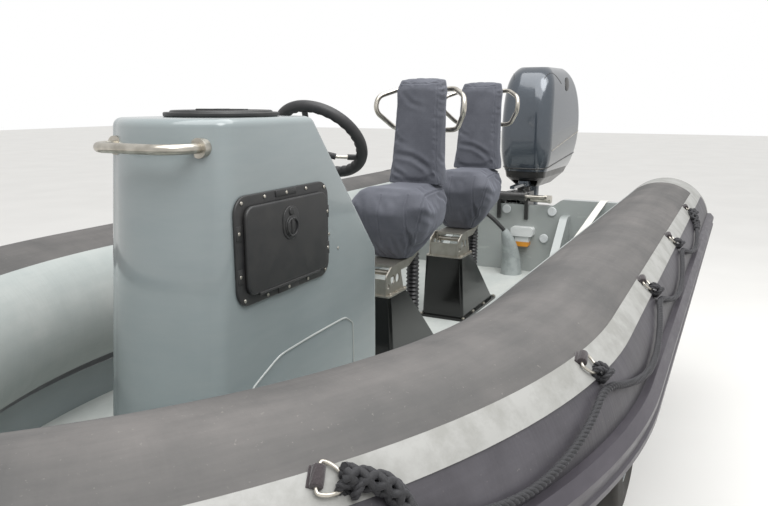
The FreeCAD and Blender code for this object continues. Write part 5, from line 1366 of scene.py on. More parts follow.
def press(obj: Object, folds: Sequence[Fold], station: float) -> None:
    """Press folds and seams into a cover, along its normals.

    Args:
        obj: the cover.
        folds: the lines.
        station: x of the seat in the row frame.
    """
    mesh = obj.data
    count = len(mesh.vertices)
    fields = []
    for key in ("co", "normal"):
        flat = np.empty(count * 3)
        mesh.vertices.foreach_get(key, flat)
        fields.append(flat.reshape(count, 3))
    places, normals = fields
    push = np.zeros(count)
    for fold in folds:
        line = [Vector((x + station, y, z)) for x, y, z in fold.points]
        line = np.array([obj.closest_point_on_mesh(p)[1] for p in resample(line, 0.012)])
        gap = np.full(count, 9.0)
        along = np.zeros(count)
        for k, (start, end) in enumerate(zip(line, line[1:])):
            run = end - start
            share = np.clip((places - start) @ run / max(run @ run, 1e-12), 0.0, 1.0)
            reach = np.linalg.norm(places - start - share[:, None] * run, axis=1)
            along = np.where(reach < gap, (k + share) / (len(line) - 1), along)
            gap = np.minimum(gap, reach)
        fade = np.sin(np.pi * np.clip(along, 0.02, 0.98)) ** 0.6 if fold.fades else 1.0
        valley = np.exp(-((gap / fold.width) ** 2))
        ridge = np.exp(-(((gap - 1.9 * fold.width) / fold.width) ** 2))
        push += fade * (fold.lip * ridge - fold.depth * valley)
    mesh.vertices.foreach_set("co", (places + normals * push[:, None]).ravel())
    mesh.update()


def puff(obj: Object, pressure: float, cap: float, slack: float, rest: Callable[[Vector], bool]) -> None:
    """Let a closed cover swell and wrinkle as cloth, then keep the shape.

    Args:
        obj: the cover.
        pressure: the cloth's inner pressure.
        cap: how far a point may move, in metres.
        slack: how much wider the cloth is cut than the form, as a share.
        rest: tells the points that stay where they are.
    """
    before = [vertex.co.copy() for vertex in obj.data.vertices]
    held = obj.vertex_groups.new(name="rest")
    held.add([i for i, place in enumerate(before) if rest(place)], 1.0, "REPLACE")
    take(obj)
    cloth = obj.modifiers.new("cloth", "CLOTH")
    cut = {
        "quality": 6,
        "mass": 0.25,
        "tension_stiffness": 14.0,
        "compression_stiffness": 14.0,
        "shear_stiffness": 7.0,
        "bending_stiffness": 0.35,
        "use_pressure": True,
        "uniform_pressure_force": pressure,
        "shrink_min": -slack,
        "vertex_group_mass": held.name,
    }
    for key, value in cut.items():
        setattr(cloth.settings, key, value)
    cloth.settings.effector_weights.gravity = 0.0
    cloth.collision_settings.use_collision = False
    for frame in range(1, 21):
        bpy.context.scene.frame_set(frame)
    bpy.ops.object.modifier_apply(modifier=cloth.name)
    for vertex, place in zip(obj.data.vertices, before):
        way = vertex.co - place
        if way.length > cap:
            vertex.co = place + way.normalized() * cap
    bpy.context.scene.frame_set(1)
    obj.vertex_groups.clear()


@dataclass
class Seats:
    """Cloth covers of the two straddle seats."""

    palette: Palette
    stations: tuple = SEAT_STATIONS
    voxel: float = 0.006

    # Depth, width and lip of a seam, in metres, which doesn't fade at its ends.
    FINE_SEAM = (0.0022, 0.0035, 0.0008, False)
    BACK_SEAM = (0.0024, 0.0035, 0.001, False)
    SIDE_SEAM = Fold(
        (
            (-0.02, 0.118, 1.452),
            (0.15, 0.137, 1.455),
            (0.28, 0.152, 1.452),
            (0.345, 0.168, 1.42),
            (0.352, 0.158, 1.33),
            (0.335, 0.120, 1.23),
            (0.315, 0.085, 1.186),
        ),
        0.003,
        0.004,
        0.0016,
        False,
    )
    SADDLE_SEAMS = (
        Fold(((0.345, -0.027, 1.462), (0.37, -0.024, 1.37), (0.345, -0.019, 1.262)), *FINE_SEAM),
        Fold(((0.345, 0.097, 1.462), (0.362, 0.098, 1.343), (0.335, 0.11, 1.238)), *FINE_SEAM),
        SIDE_SEAM,
        SIDE_SEAM.mirrored(),
    )
    SADDLE_FOLDS = (
        Fold(((0.358, 0.101, 1.315), (0.348, 0.112, 1.267), (0.332, 0.118, 1.222)), 0.008, 0.008, 0.005),
        Fold(((0.35, 0.125, 1.28), (0.338, 0.115, 1.235), (0.322, 0.092, 1.195)), 0.006, 0.007, 0.004),
        Fold(((0.35, 0.03, 1.29), (0.338, 0.038, 1.25), (0.320, 0.045, 1.20)), 0.003, 0.010, 0.003),
        Fold(((0.34, -0.045, 1.25), (0.33, -0.030, 1.215), (0.318, -0.010, 1.188)), 0.005, 0.007, 0.004),
        Fold(((0.34, -0.075, 1.24), (0.328, -0.062, 1.21), (0.316, -0.040, 1.188)), 0.005, 0.006, 0.004),
        Fold(((0.335, 0.01, 1.225), (0.325, 0.02, 1.205), (0.316, 0.036, 1.186)), 0.005, 0.006, 0.004),
        Fold(((0.34, 0.15, 1.39), (0.27, 0.152, 1.36), (0.2, 0.14, 1.35)), 0.004, 0.012, 0.003),
        Fold(((0.31, 0.115, 1.23), (0.24, 0.115, 1.26), (0.16, 0.118, 1.31)), 0.005, 0.013, 0.004),
        Fold(((0.1, 0.13, 1.44), (0.02, 0.125, 1.39), (-0.02, 0.115, 1.33)), 0.004, 0.011, 0.003),
        Fold(((0.36, -0.11, 1.44), (0.372, -0.09, 1.37), (0.36, -0.08, 1.31)), 0.003, 0.012, 0.002),
    )
    EDGE_SEAM = Fold(((0.045, 0.097, 1.911), (0.06, 0.108, 1.7), (0.075, 0.116, 1.478)), *BACK_SEAM)
    BACK_SEAMS = (
        EDGE_SEAM,
        EDGE_SEAM.mirrored(),
        Fold(((-0.055, 0.097, 1.911), (-0.045, 0.108, 1.7), (-0.022, 0.12, 1.478)), *BACK_SEAM),
        Fold(((0.03, -0.09, 1.915), (0.03, 0.0, 1.917), (0.03, 0.09, 1.915)), 0.002, 0.0035, 0.0008, False),
    )
    BACK_FOLDS = (
        Fold(((0.065, -0.118, 1.602), (0.07, -0.011, 1.587), (0.075, 0.100, 1.535)), 0.0042, 0.011, 0.0036),
        Fold(((0.07, -0.125, 1.552), (0.074, -0.086, 1.52), (0.075, -0.026, 1.49)), 0.0042, 0.010, 0.0036),
        Fold(((0.07, 0.02, 1.575), (0.074, 0.06, 1.545), (0.075, 0.10, 1.5)), 0.0028, 0.010, 0.0024),
        Fold(((0.052, -0.092, 1.88), (0.053, -0.029, 1.818), (0.055, 0.036, 1.8)), 0.0021, 0.010, 0.0018),
        Fold(((0.06, -0.108, 1.68), (0.062, -0.08, 1.655), (0.063, -0.04, 1.64)), 0.0021, 0.009, 0.0018),
        Fold(((0.045, 0.106, 1.903), (0.01, 0.112, 1.89), (-0.03, 0.108, 1.896)), 0.0028, 0.006, 0.0018),
        Fold(((0.045, 0.108, 1.876), (0.012, 0.113, 1.863), (-0.02, 0.11, 1.87)), 0.0028, 0.006, 0.0018),
        Fold(((0.045, 0.110, 1.843), (0.015, 0.114, 1.83), (-0.02, 0.112, 1.833)), 0.0028, 0.007, 0.0018),
        Fold(((0.05, 0.112, 1.788), (0.02, 0.115, 1.778), (-0.02, 0.113, 1.783)), 0.0021, 0.008, 0.0018),
        Fold(((0.06, 0.118, 1.6), (0.03, 0.122, 1.57), (-0.01, 0.12, 1.56)), 0.0028, 0.009, 0.0018),
    )

    def build(self, nodes: dict[str, Object]) -> None:
        """Make each cover once, copy it to the second seat, and press the folds in.

        Args:
            nodes: the carried-over solids by name.
        """
        for node, folds, seams, cap in (
            ("saddles", self.SADDLE_FOLDS, self.SADDLE_SEAMS, 0.012),
            ("backrests", self.BACK_FOLDS, self.BACK_SEAMS, 0.009),
        ):
            first = self.form(nodes[node], node.rstrip("s") + "_cover_aft", cap)
            if node == "saddles":
                modifier(first, "SMOOTH", factor=0.5, iterations=14)
            pitch = Matrix.Translation((self.stations[1] - self.stations[0], 0.0, 0.0))
            second = copy_mesh(first, node.rstrip("s") + "_cover_fore", pitch)
            for cover, station in zip((first, second), self.stations):
                kept = folds[::2] if cover is first else folds
                press(cover, kept, station)
                modifier(cover, "SUBSURF", levels=1, render_levels=1)
                press(cover, seams, station)
                finish_piece(cover, self.palette, "seat_cover", angle=80)
                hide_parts(node)

    def form(self, node: Object, name: str, cap: float) -> Object:
        """The aft seat's cover: the solid's form in even cloth-sized faces, swollen a little.

        Args:
            node: the carried-over solid.
            name: the cover's name.
            cap: how far the cloth may move, in metres.

        Returns:
            The cover.
        """
        cover = copy_mesh(node, name)
        outward(cover)
        middle = sum(self.stations) / 2 + 0.12
        edit(cover)
        pick(cover, lambda centre, normal: centre.x > middle)
        bpy.ops.mesh.delete(type="FACE")
        done()
        corners = [Vector(c) for c in cover.bound_box]
        centre = sum(corners, Vector()) / 8
        smaller = Matrix.Scale(0.985, 4)
        cover.data.transform(Matrix.Translation(centre) @ smaller @ Matrix.Translation(-centre))
        modifier(cover, "REMESH", mode="VOXEL", voxel_size=self.voxel)
        modifier(cover, "SMOOTH", factor=0.5, iterations=5)
        foot = min(c.z for c in corners) + 0.02
        puff(cover, 4.0, cap, 0.02, lambda place: place.z < foot)
        return cover


# Small hardware


def block(
    name: str, low: Sequence[float], high: Sequence[float], bevel: float = 0.0, segments: int = 2
) -> Object:
    """A cuboid with softened edges.

    Args:
        name: the piece's name.
        low: its lowest corner, in metres.
        high: its highest corner, in metres.
        bevel: width of the softened edge, in metres.
        segments: faces across that edge.

    Returns:
        The piece.
    """
    put_down()
    centre = [(a + b) / 2 for a, b in zip(low, high)]
    size = [b - a for a, b in zip(low, high)]
    bpy.ops.mesh.primitive_cube_add(size=1.0, location=centre, scale=size)
    made = named(name)
    if bevel:
        modifier(made, "BEVEL", width=bevel, segments=segments)
    return made


def drum(
    name: str,
    centre: Vector,
    axis: Vector,
    radius: float,
    depth: float,
    bevel: float = 0.0,
    sides: int = 32,
    far: Optional[float] = None,
) -> Object:
    """A disc, drum or cone about an axis.

    Args:
        name: the piece's name.
        centre: its middle, in metres.
        axis: its direction.
        radius: in metres.
        depth: its length along the axis, in metres.
        bevel: width of the softened rims, in metres.
        sides: faces round it.
        far: the radius at the axis's end, if it differs.

    Returns:
        The piece.
    """
    put_down()
    turn = Vector(axis).to_track_quat("Z", "Y").to_euler()
    bpy.ops.mesh.primitive_cone_add(
        vertices=sides,
        radius1=radius,
        radius2=radius if far is None else far,
        depth=depth,
        location=centre,
        rotation=turn,
    )
    made = named(name)
    if bevel:
        modifier(made, "BEVEL", width=bevel, segments=3, limit_method="ANGLE", angle_limit=math.radians(40))
    return made


def hoop(
    name: str, centre: Vector, axis: Vector, radius: float, wire: float, sides: int = 40, around: int = 10
) -> Object:
    """A ring of round bar.

    Args:
        name: the piece's name.
        centre: its middle, in metres.
        axis: its direction.
        radius: of the bar's centre line, in metres.
        wire: the bar's radius, in metres.
        sides: sections along the ring.
        around: faces round the bar.

    Returns:
        The ring.
    """
    put_down()
    turn = Vector(axis).to_track_quat("Z", "Y").to_euler()
    bpy.ops.mesh.primitive_torus_add(
        major_radius=radius,
        minor_radius=wire,
        major_segments=sides,
        minor_segments=around,
        location=centre,
        rotation=turn,
    )
    return named(name)


def slab(
    name: str,
    outline: Sequence[float],
    span_y: Sequence[float],
    corner: float,
    edge: float,
    segments: int = 3,
) -> Object:
    """An upright plate across y, with round corners and softened edges.

    Args:
        name: the piece's name.
        outline: lowest x, highest x, lowest z and highest z, in metres.
        span_y: the two faces' y, in metres.
        corner: radius of its corners, in metres.
        edge: width of the softened edges, in metres.
        segments: faces across those edges.

    Returns:
        The plate.
    """
    x0, x1, z0, z1 = outline
    put_down()
    bpy.ops.mesh.primitive_plane_add(
        size=1.0, location=((x0 + x1) / 2, span_y[0], (z0 + z1) / 2), rotation=(math.pi / 2, 0.0, 0.0)
    )
    bpy.context.object.scale = (x1 - x0, z1 - z0, 1.0)
    made = named(name)
    edit(made, "VERT")
    bpy.ops.mesh.bevel(offset=corner, offset_type="OFFSET", segments=8, affect="VERTICES")
    bpy.ops.mesh.select_all(action="SELECT")
    bpy.ops.mesh.extrude_region_move(TRANSFORM_OT_translate={"value": (0.0, span_y[1] - span_y[0], 0.0)})
    done()
    outward(made)
    modifier(made, "BEVEL", width=edge, segments=segments, limit_method="ANGLE", angle_limit=math.radians(50))
    return made


def carve(obj: Object, cutter: Object) -> Object:
    """Cut one piece out of another and remove the cutter.

    Args:
        obj: the piece that is cut.
        cutter: what is taken away from it.

    Returns:
        The cut piece.
    """
    modifier(obj, "BOOLEAN", operation="DIFFERENCE", object=cutter, solver="EXACT")
    bpy.data.objects.remove(cutter)
    return obj


def pan_head(radius: float) -> Object:
    """A pan-head screw's head on the plane z = 0."""
    return drum("screw_master", UP * radius * 0.3, UP, radius, radius * 0.62, radius * 0.28, 16)


def hex_bolt(radius: float) -> Object:
    """A hexagon head on a washer, on the plane z = 0.

    Args:
        radius: of the hexagon's corners, in metres.

    Returns:
        The bolt's visible end.
    """
    washer = drum("bolt_master", UP * radius * 0.1, UP, radius * 1.45, radius * 0.2, radius * 0.05, 24)
    head = drum("bolt_head", UP * radius * 0.62, UP, radius, radius * 0.85, radius * 0.1, 6)
    return join("bolt_master", [washer, head])


def strew(name: str, master: Object, places: Sequence[tuple]) -> Object:
    """Set copies of a part on a surface and join them; the part itself goes.

    Args:
        name: the name of the result.
        master: the part, standing on the plane z = 0.
        places: pairs of a point and the surface's outward direction.

    Returns:
        All the copies as one piece.
    """
    turns = [Vector(normal).to_track_quat("Z", "Y").to_matrix().to_4x4() for _, normal in places]
    spots = [
        Matrix.Translation(point) @ turn @ Matrix.Rotation(0.7 * i, 4, "Z")
        for i, ((point, _), turn) in enumerate(zip(places, turns))
    ]
    return place_all(name, master, spots)


def place_all(name: str, master: Object, spots: Sequence[Matrix]) -> Object:
    """Copy a part into several frames and join the copies; the part itself goes.

    Args:
        name: the name of the result.
        master: the part.
        spots: the frames.

    Returns:
        All the copies as one piece.
    """
    copies = [copy_mesh(master, f"{name}_{i}", spot) for i, spot in enumerate(spots)]
    bpy.data.objects.remove(master)
    return join(name, copies)


# The console


@dataclass
class Console:
    """The moulded console's skin with its round-over, its hatch, lid, bead, rivets and screws."""

    palette: Palette
    half: float = 0.190
    front: float = 0.9825
    bulge: float = 0.055
    lean: float = 0.105
    floor: float = 0.7505
    top: float = 1.786
    top_aft: float = 0.4855
    knee_x: float = 0.0945
    knee_z: float = 1.330
    corner: float = 0.040
    wall: float = 0.005
    round_over: float = 0.021
    lid_x: float = 0.6525
    hatch_x: float = 0.6475

    def build(self) -> None:
        """Build every piece of the console."""
        self.skin()
        self.bead()
        self.hatch()
        self.lid()
        self.round_lid()

    def outline(self, level: float, aft: float) -> list[Vector]:
        """Points of the plan outline at a level, from the aft port corner round by the bow.

        Args:
            level: height, in metres.
            aft: x of the aft side there.

        Returns:
            The points.
        """
        front = self.front - self.lean * (level - DECK_LEVEL) / (self.top - DECK_LEVEL)
        start = (front - self.corner, self.half)
        middle = (front - self.corner * 0.26, self.half - self.corner * 0.27)
        end = (front + 0.008, self.half - self.corner)
        bow = [2 * m - (a + b) / 2 for m, a, b in zip(middle, start, end)]
        port = [start]
        for t in (k / 6 for k in range(1, 7)):
            arc = [(1 - t) ** 2 * a + 2 * t * (1 - t) * b + t * t * c for a, b, c in zip(start, bow, end)]
            port.append(tuple(arc))
        wide = end[1]
        sag = self.bulge - 0.008
        radius = (wide * wide + sag * sag) / (2 * sag)
        nose = front + self.bulge
        for k in range(1, 12):
            y = wide * (1 - k / 12)
            port.append((nose - radius + math.sqrt(radius * radius - y * y), y))
        port = [(aft, self.half)] + port
        points = port + [(nose, 0.0)] + [(x, -y) for x, y in reversed(port)]
        return [Vector((x, y, level)) for x, y in points]

    def skin(self) -> None:
        """Raise the plan outline through three levels, close the top, round it over and give it its wall."""
        levels = ((self.floor, self.knee_x), (self.knee_z, self.knee_x), (self.top, self.top_aft))
        rings = [self.outline(*pair) for pair in levels]
        count = len(rings[0])
        put_down()
        bpy.ops.mesh.primitive_circle_add(vertices=count, radius=1.0, location=ORIGIN)
        shell = named("console_skin")
        edit(shell, "EDGE")
        for _ in levels[1:]:
            bpy.ops.mesh.extrude_edges_move(TRANSFORM_OT_translate={"value": (0.0, 0.0, 1.0)})
        bpy.ops.mesh.edge_face_add()
        done()
        first = shell.data.vertices[0].co
        start = math.atan2(first.y, first.x)
        for vertex in shell.data.vertices:
            turn = (start - math.atan2(vertex.co.y, vertex.co.x)) / math.tau * count
            vertex.co = rings[round(vertex.co.z)][round(turn) % count]
        outward(shell)
        modifier(
            shell,
            "BEVEL",
            width=self.round_over,
            segments=5,
            limit_method="ANGLE",
            angle_limit=math.radians(28),
        )
        modifier(shell, "SOLIDIFY", thickness=self.wall, offset=-1.0)
        carve(shell, block("hatch_hole", (0.467, 0.15, 1.348), (0.827, 0.23, 1.568)))
        foot, normal = Helm.axis()
        carve(shell, drum("helm_hole", foot, normal, 0.030, 0.08))
        carve(shell, drum("lid_hole", Vector((self.lid_x, 0.0, 1.78)), UP, 0.136, 0.06, sides=64))
        finish_piece(shell, self.palette, "gelcoat", angle=30)
        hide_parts("console_shell")

    def bead(self) -> None:
        """The moulded bead low on the port side."""
        way = ((3.115, 1.020), (3.043, 1.089), (2.917, 1.139), (2.75, 1.145))
        way += ((2.555, 1.147), (2.505, 1.116), (2.503, 0.985), (2.503, 0.80))
        line = []
        for (x0, z0), (x1, z1) in zip(way, way[1:]):
            for share in (0.1, 0.5, 0.9):
                line.append(Vector((x0 + (x1 - x0) * share + AFT_X, self.half, z0 + (z1 - z0) * share)))
        bar = tube_along("console_bead", line, 0.0034, 10)
        finish_piece(bar, self.palette, "gelcoat_light")

    def hatch(self) -> None:
        """Frame with its raised pads and screws, and the rivets beside it."""
        y = self.half + 0.0003
        frame = slab("hatch_surround", (0.4295, 0.8655, 1.317, 1.599), (y, y + 0.009), 0.046, 0.0035)
        carve(frame, slab("hatch_inner", (0.4655, 0.8295, 1.353, 1.563), (y - 0.01, y + 0.02), 0.024, 0.0005))
        pads = []
        for x0, x1, z0, z1 in (
            (0.8455, 0.864, 1.489, 1.527),
            (0.8455, 0.864, 1.380, 1.418),
            (0.431, 0.4495, 1.489, 1.527),
            (0.431, 0.4495, 1.380, 1.418),
            (0.600, 0.696, 1.580, 1.5975),
            (0.600, 0.696, 1.3185, 1.336),
        ):
            pads.append(block("hatch_pad", (x0, y + 0.004, z0), (x1, y + 0.0122, z1), 0.0022))
        surround = join("hatch_surround", [frame] + pads)
        finish_piece(surround, self.palette, "black_plastic")
        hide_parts("hatch_frame")
        face = y + 0.0088
        places = []
        for dx in (-0.194, -0.098, 0.0, 0.096, 0.192):
            lift = 0.0 if abs(dx) < 0.15 else 0.006
            deep = 0.0018 if abs(dx) < 0.01 else 0.0
            for z in (1.588 - lift, 1.328 + lift):
                places.append((Vector((self.hatch_x + dx, face + deep, z)), PORTWARD))
        for dx in (-0.2075, 0.2075):
            for z in (1.508, 1.399):
                places.append((Vector((self.hatch_x + dx, face + 0.0018, z)), PORTWARD))
        screws = strew("hatch_screws", pan_head(0.0048), places)
        finish_piece(screws, self.palette, "stainless")
        beside = ((2.6465, 1.434), (2.594, 1.382))
        places = [(Vector((x + AFT_X, self.half - 0.0003, z)), PORTWARD) for x, z in beside]
        rivets = strew("console_rivets", pan_head(0.0042), places)
        finish_piece(rivets, self.palette, "stainless")

    def lid(self) -> None:
        """Smooth lid with its latch, rolled hinge and pull ring."""
        y = self.half + 0.0098
        x = self.hatch_x
        cover = slab("hatch_cover", (0.4575, 0.8375, 1.345, 1.572), (y, y + 0.0135), 0.030, 0.0055, 5)
        plug = slab("hatch_plug", (0.472, 0.823, 1.3595, 1.5565), (y - 0.0055, y), 0.022, 0.001)
        face = y + 0.0135
        thick = (face - 0.001, face + 0.003)
        plate = slab("latch_plate", (0.6095, 0.6855, 1.461, 1.553), thick, 0.037, 0.002)
        well = drum("latch_well", Vector((x, face + 0.003, 1.498)), PORTWARD, 0.030, 0.006, 0.0015)
        ring = hoop("latch_ring", Vector((x, face + 0.0072, 1.496)), PORTWARD, 0.0235, 0.0028)
        bar = block("latch_bar", (x - 0.006, face + 0.001, 1.475), (x + 0.006, face + 0.0082, 1.520), 0.0018)
        lock = drum("latch_lock", Vector((x, face + 0.003, 1.5385)), PORTWARD, 0.0115, 0.007, 0.0016)
        hinge = drum("hatch_roll", Vector((x, 0.2086, 1.3435)), AHEAD, 0.0048, 0.29, 0.001, 20)
        cover = join("hatch_cover", [cover, plug, plate, well, ring, bar, lock, hinge])
        finish_piece(cover, self.palette, "black_plastic", body="hatch_lid")
        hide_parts("hatch_lid")

    def round_lid(self) -> None:
        """Screw lid on the top: a plain rim, a dished middle, a straight bar handle and a hub."""
        centre = AHEAD * self.lid_x
        base = drum("top_rim", centre + UP * 1.7923, UP, 0.155, 0.011, 0.003, 96)
        disc = drum("top_disc", centre + UP * 1.7985, UP, 0.140, 0.009, 0.0035, 96, far=0.136)
        carve(disc, drum("top_dish", centre + UP * 1.806, UP, 0.118, 0.010, 0.001, 96, far=0.122))
        neck = drum("top_neck", centre + UP * 1.774, UP, 0.1335, 0.026, 0.001, 64)
        bar = block("top_bar", (0.6425, -0.085, 1.7985), (0.6625, 0.085, 1.8062), 0.0028, 3)
        hub = drum("top_hub", centre + UP * 1.8025, UP, 0.024, 0.008, 0.002, 32)
        cover = join("top_cover", [base, disc, neck, bar, hub])
        finish_piece(cover, self.palette, "black_plastic")
        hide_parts("top_lid")


@dataclass
class Helm:
    """Steering wheel with a rim scalloped for the fingers, polished spokes in black sleeves, and its boss."""

    palette: Palette
    rim: float = 0.151
    wire: float = 0.019
    standoff: float = 0.200
    grips: int = 30
    up_face: float = 0.290
    dish: float = 0.050

    @staticmethod
    def axis() -> tuple[Vector, Vector]:
        """The shaft's line.

        Returns:
            Its foot on the console's slanted face, and the face's outward direction.
        """
        head = Vector((Console.top_aft, 0.0, Console.top))
        slope = (Vector((Console.knee_x, 0.0, Console.knee_z)) - head).normalized()
        return head + slope * Helm.up_face, Vector((slope.z, 0.0, -slope.x))

    def build(self) -> None:
        """Build the wheel in its place."""
        foot, normal = self.axis()
        centre = foot + normal * self.standoff
        hub = centre - normal * self.dish
        rim = hoop("wheel_rim", centre, normal, self.rim, self.wire, 150, 20)
        for vertex in rim.data.vertices:
            arm = vertex.co - centre
            flat = arm - normal * arm.dot(normal)
            turn = math.atan2(flat.y, flat.dot(normal.cross(PORTWARD)))
            inner = max(0.0, (self.rim - flat.length) / self.wire)
            vertex.co = vertex.co - flat.normalized() * (inner * 0.0022 * math.sin(self.grips * turn))
        finish_piece(rim, self.palette, "wheel_rim", body="steering_wheel", angle=60)
        up = Vector((normal.z, 0.0, -normal.x))
        if up.z < 0:
            up = -up
        side = normal.cross(up)
        bars, sleeves = [], []
        for k in range(3):
            angle = math.radians(90 + 120 * k)
            out = up * math.sin(angle) + side * math.cos(angle)
            start, bend = hub + out * 0.018, hub + out * 0.062 + normal * 0.006
            end = centre + out * self.rim
            bars.append(tube_along(f"spoke_{k}", [start, bend, bend.lerp(end, 0.5), end], 0.0062, 14))
            ends = ((bend.lerp(end, 0.52), end, 0.0098), (start, bend.lerp(end, 0.12), 0.0105))
            for near, far, radius in ends:
                run = far - near
                sleeves.append(drum(f"sleeve_{k}", (near + far) / 2, run, radius, run.length, 0.0015, 20))
        spokes = join("wheel_spokes", bars)
        finish_piece(spokes, self.palette, "stainless", body="steering_wheel", angle=50)
        cap = drum("wheel_cap", hub + normal * 0.004, normal, 0.041, 0.034, 0.008, 48, far=0.030)
        shaft = drum("wheel_shaft", foot + normal * 0.088, normal, 0.0118, 0.124, 0.0, 24)
        dark = join("wheel_hub", [cap, shaft] + sleeves)
        finish_piece(dark, self.palette, "wheel_rim", body="steering_wheel")
        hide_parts("steering_wheel")


# Rings, hitches, hose, stern and engine


def section_at(line: TubeLine, s: float, angle: float, side: Side) -> Matrix:
    """Frame on the tube's skin: x runs along the tube, y down round it and z outwards.

    Args:
        line: the tube.
        s: length from the transom, in metres.
        angle: degrees up from level on the outboard side.
        side: which side.

    Returns:
        The frame as a matrix.
    """
    origin = line.skin(s, angle, 0.0, side)
    normal = (line.skin(s, angle, 0.1, side) - origin).normalized()
    down = (line.skin(s, angle - 1.0, 0.0, side) - line.skin(s, angle + 1.0, 0.0, side)).normalized()
    along = down.cross(normal).normalized()
    return Matrix.Translation(origin) @ Matrix((along, down, normal)).transposed().to_4x4()


@dataclass
class Rings:
    """Steel D-rings whose bars lie in moulded sleeves on the light band, with the rope hitched to each."""

    line: TubeLine
    palette: Palette
    stations: tuple = Lifeline.stations
    turns: tuple = (1.05, 0.4, 0.3, 0.3, 0.3)
    ahead: tuple = (0.020, 0.0, 0.0, 0.0, 0.0)
    angle: float = 48.5

    def build(self) -> list[Object]:
        """Build rings, sleeves and hitches.

        Returns:
            The hitches of the port and of the starboard rope.
        """
        spots = {
            side: [
                section_at(self.line, s + more, self.angle, side) @ Matrix.Rotation(turn * side.value, 4, "Z")
                for s, turn, more in zip(self.stations, self.turns, self.ahead)
            ]
            for side in Side
        }
        every = [spot for side in Side for spot in spots[side]]
        rings = place_all("band_rings", self.ring(), every)
        finish_piece(rings, self.palette, "stainless", angle=60)
        sleeves = place_all("band_sleeves", self.sleeve(), every)
        finish_piece(sleeves, self.palette, "dark_webbing", angle=40)
        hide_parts("lifeline_rings")
        hitches = []
        for side in Side:
            hitch = place_all(f"hitches_{side.name.lower()}", self.hitch(), spots[side])
            hitches.append(finish_piece(hitch, self.palette, "rope", angle=60))
        return hitches

    def ring(self) -> Object:
        """One D of round bar, straight side first.

        Returns:
            The ring.
        """
        way = ((-0.022, 0.0), (0.0, 0.0), (0.022, 0.0), (0.026, 0.006), (0.023, 0.022), (0.014, 0.037))
        way += ((0.0, 0.043),) + tuple((-x, y) for x, y in reversed(way[3:]))
        bar = [Vector((x, y, 0.0095 - 0.05 * y)) for x, y in way]
        return tube_along("ring_master", bar, 0.0033, 10, closed=True)

    def sleeve(self) -> Object:
        """The sleeve over the bar, on its pad.

        Returns:
            The sleeve.
        """
        over = drum("sleeve_master", UP * 0.0095, AHEAD, 0.0108, 0.034, 0.0025, 24)
        pad = block("sleeve_pad", (-0.017, -0.014, -0.001), (0.017, 0.006, 0.0052), 0.0012)
        return join("sleeve_master", [over, pad])

    def hitch(self) -> Object:
        """Two turns of rope round the ring's bow and one round the rope's own standing part.

        Returns:
            The hitch.
        """
        turns = []
        rows = (
            ((0.006, 0.048, 0.009), (1.0, 0.25, 0.15), 0.0150, 0.0125),
            ((-0.009, 0.050, 0.010), (1.0, -0.3, -0.1), 0.0150, 0.0125),
            ((0.000, 0.064, 0.013), (0.35, 1.0, 0.1), 0.0175, 0.0140),
        )
        for k, (centre, axis, wide, high) in enumerate(rows):
            turn = Vector(axis).to_track_quat("Z", "Y").to_matrix()
            loop = [
                Vector(centre) + turn @ Vector((wide * math.cos(a), high * math.sin(a), 0.0))
                for a in (math.tau * i / 24 for i in range(25))
            ]
            turns.append(lay_rope(f"hitch_{k}", loop, 0.0145, 0.034, sides=6, step=0.005))
        return join("hitch_master", turns)


def braid(name: str, path: Sequence[Vector], reach: float, strand: float, lay: float) -> Object:
    """Six strands plaited round a line, three each way, that narrow to the line's end.

    Args:
        name: the piece's name.
        path: the line.
        reach: radius of the plait's centre lines, in metres.
        strand: radius of a strand, in metres.
        lay: length of one full turn, in metres.

    Returns:
        The plait as one mesh.
    """
    step, strands = 0.004, 6
    centre = resample(path, step)
    shares = [i / (len(centre) - 1) for i in range(len(centre))]
    thin = [1.0 - 0.42 * max(0.0, share - 0.55) / 0.45 for share in shares]
    made = []
    for k in range(strands):
        way = 1 if k % 2 else -1
        turns = len(centre) * step / lay
        angles = [math.tau * (way * share * turns + k / strands) for share in shares]
        waves = [0.0022 * math.sin(3 * angle * way + math.pi * k) for angle in angles]
        points = wind(centre, angles, [(reach + wave) * less for wave, less in zip(waves, thin)])
        made.append(tube_along(f"{name}_{k}", points, strand, 8, kind=Run.STRAIGHT))
    return join(name, made)


@dataclass
class RiggingHose:
    """Corrugated hose from the deck's boot over to the transom, with its union nut."""

    palette: Palette
    diameter: float = 0.028
    step: float = 0.0008
    pitch: float = 0.0085
    route: tuple = (
        (-2.0375, -0.013, 1.030),
        (-2.0005, -0.105, 1.140),
        (-2.0055, -0.240, 1.175),
        (-2.1722, -0.345, 1.170),
    )

    def build(self) -> None:
        """Build the hose on its route's own smooth line, and the nut."""
        points = [Vector(p) for p in self.route]
        path = smooth_line("rigging_route", points)
        core = tube_along("rigging_core", points, self.diameter / 2 - 0.0022, 16)
        centre = resample(path, self.step)
        angles = [math.tau * i * self.step / self.pitch for i in range(len(centre))]
        ribs = wind(centre, angles, [self.diameter / 2 - 0.0024] * len(centre))
        rib = tube_along("rigging_rib", ribs, 0.0023, 6, kind=Run.STRAIGHT)
        hose = join("rigging_tube", [core, rib])
        finish_piece(hose, self.palette, "black_plastic", angle=60)
        end, before = path[-1], resample(path, 0.02)[-2]
        run = (end - before).normalized()
        nut = drum("rigging_nut", end - run * 0.014, run, 0.0195, 0.024, 0.002, 6)
        flange = drum("rigging_flange", end - run * 0.003, run, 0.0225, 0.005, 0.001, 32)
        fitting = join("rigging_fitting", [nut, flange])
        finish_piece(fitting, self.palette, "black_plastic")
        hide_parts("rigging_hose")


